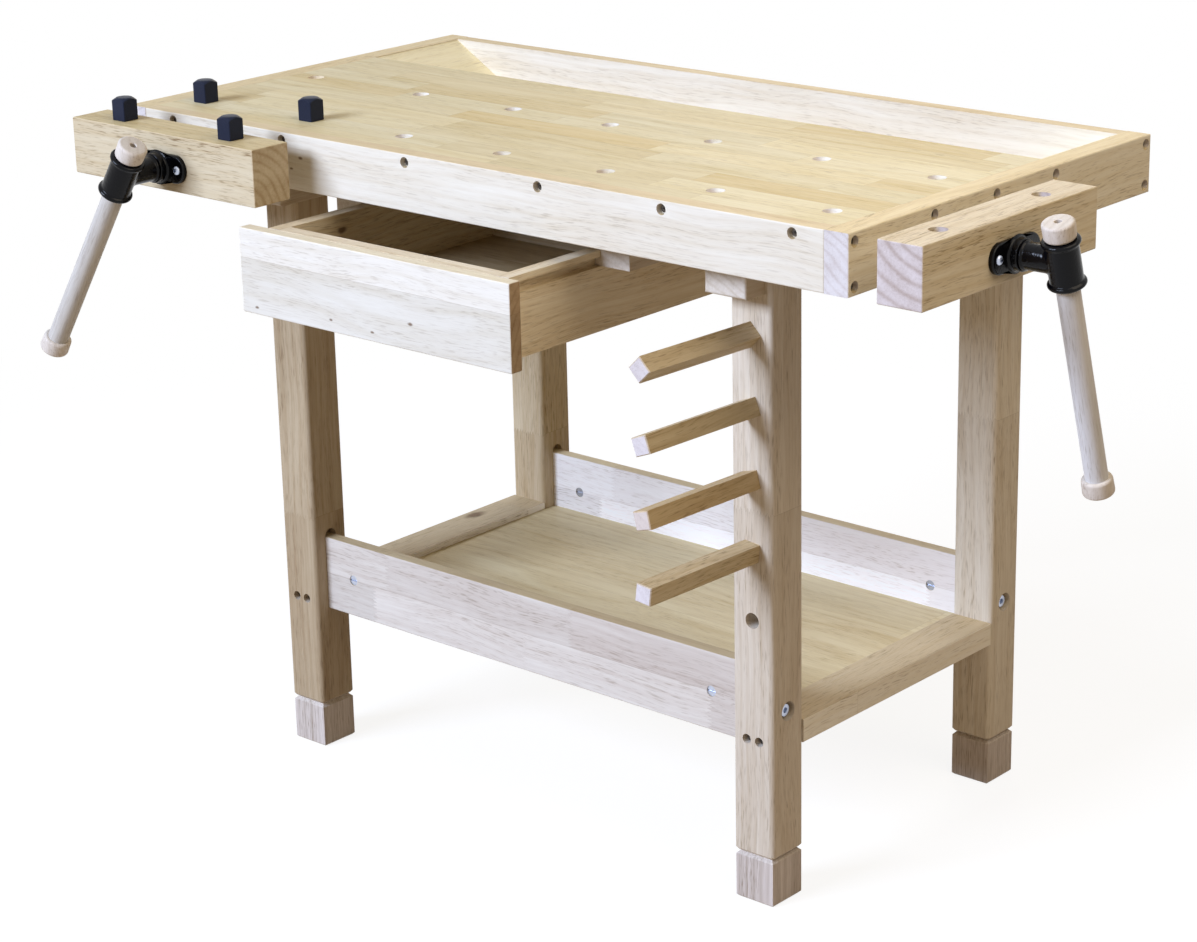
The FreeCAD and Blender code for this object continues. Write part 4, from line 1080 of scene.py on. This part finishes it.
def stage_floor():
    """A floor that is white far off, and near the bench white with a soft shadow."""
    reach = 8.0
    level = -0.3 * mm
    shadow_grey = (0.2, 0.2, 0.2, 1.0)
    fade_start = 0.6
    fade_end = 2.0
    mesh = bpy.data.meshes.new("studio_floor")
    corners = [(-reach, -reach, level), (reach, -reach, level), (reach, reach, level), (-reach, reach, level)]
    mesh.from_pydata(corners, [], [(0, 1, 2, 3)])
    floor = bpy.data.objects.new("studio_floor", mesh)
    bpy.context.scene.collection.objects.link(floor)
    material, tree = new_material("white_floor_paint")
    paint = add_node(tree, "ShaderNodeBsdfDiffuse", {"Color": linear("#B8A488")})
    shaded = add_node(tree, "ShaderNodeBsdfDiffuse", {"Color": shadow_grey})
    glow = add_node(tree, "ShaderNodeEmission", {"Color": pure_white, "Strength": 0.87})
    near = add_node(tree, "ShaderNodeAddShader", {0: shaded.outputs[0], 1: glow.outputs[0]})
    far = add_node(tree, "ShaderNodeEmission", {"Color": pure_white, "Strength": 1.0})
    place = add_node(tree, "ShaderNodeTexCoord")
    distance = add_node(tree, "ShaderNodeVectorMath", {0: place.outputs["Object"]}, operation="LENGTH")
    fade = add_node(tree, "ShaderNodeMapRange", {
        "Value": distance.outputs["Value"], "From Min": fade_start, "From Max": fade_end,
    }, interpolation_type="SMOOTHSTEP")
    white = add_node(tree, "ShaderNodeMixShader", {
        0: fade.outputs[0], 1: near.outputs[0], 2: far.outputs[0],
    })
    seen = white_to_sight(tree, paint, white)
    add_node(tree, "ShaderNodeOutputMaterial", {"Surface": seen.outputs[0]})
    mesh.materials.append(material)


def studio_world():
    """A dim warm room that looks white."""
    world = bpy.data.worlds.new("studio")
    bpy.context.scene.world = world
    world.use_nodes = True
    tree = world.node_tree
    tree.nodes.clear()
    room = add_node(tree, "ShaderNodeBackground", {"Color": linear("#FFE8CC"), "Strength": 0.17})
    white = add_node(tree, "ShaderNodeBackground", {"Color": pure_white, "Strength": 1.0})
    seen = white_to_sight(tree, room, white)
    add_node(tree, "ShaderNodeOutputWorld", {"Surface": seen.outputs[0]})


def studio_lamp(name, place, target, width, height, watts, colour):
    """A rectangular lamp that faces a target."""
    lamp = bpy.data.lights.new(name, "AREA")
    lamp.shape = "RECTANGLE"
    lamp.size = width
    lamp.size_y = height
    lamp.energy = watts
    lamp.color = linear(colour)[:3]
    stand = bpy.data.objects.new(name, lamp)
    stand.location = place
    stand.rotation_euler = (Vector(target) - Vector(place)).to_track_quat("-Z", "Y").to_euler()
    bpy.context.scene.collection.objects.link(stand)


stage_floor()
studio_world()
studio_lamp("front_lamp", (-2.0, -6.4, 4.0), (0.0, 0.0, 0.5), 3.6, 2.4, 785.0, "#D2E1FF")
studio_lamp("side_lamp", (1.45, -0.2, 2.1), (0.2, 0.0, 0.6), 1.4, 1.4, 16.5, "#FFEFD6")
studio_lamp("back_lamp", (-1.2, 2.2, 1.9), (0.2, 0.0, 0.7), 1.2, 1.2, 12.0, "#FFF0D8")

camera_data = bpy.data.cameras.new("photograph_camera")
camera_data.sensor_fit = "HORIZONTAL"
camera_data.sensor_width = 36.0
camera_data.lens = 90.5
camera = bpy.data.objects.new("photograph_camera", camera_data)
bpy.context.scene.collection.objects.link(camera)
camera_place = (2.0915, -2.4347, 1.4253)
azimuth = math.radians(41.54)
elevation = math.radians(18.57)
roll = math.radians(-1.293)
aim = Matrix.Rotation(azimuth, 4, "Z") @ Matrix.Rotation(math.pi / 2.0 - elevation, 4, "X")
camera.matrix_world = Matrix.Translation(camera_place) @ aim @ Matrix.Rotation(roll, 4, "Z")
bpy.context.scene.camera = camera
bpy.context.scene.view_settings.view_transform = "Standard"


bpy.context.view_layer.update()
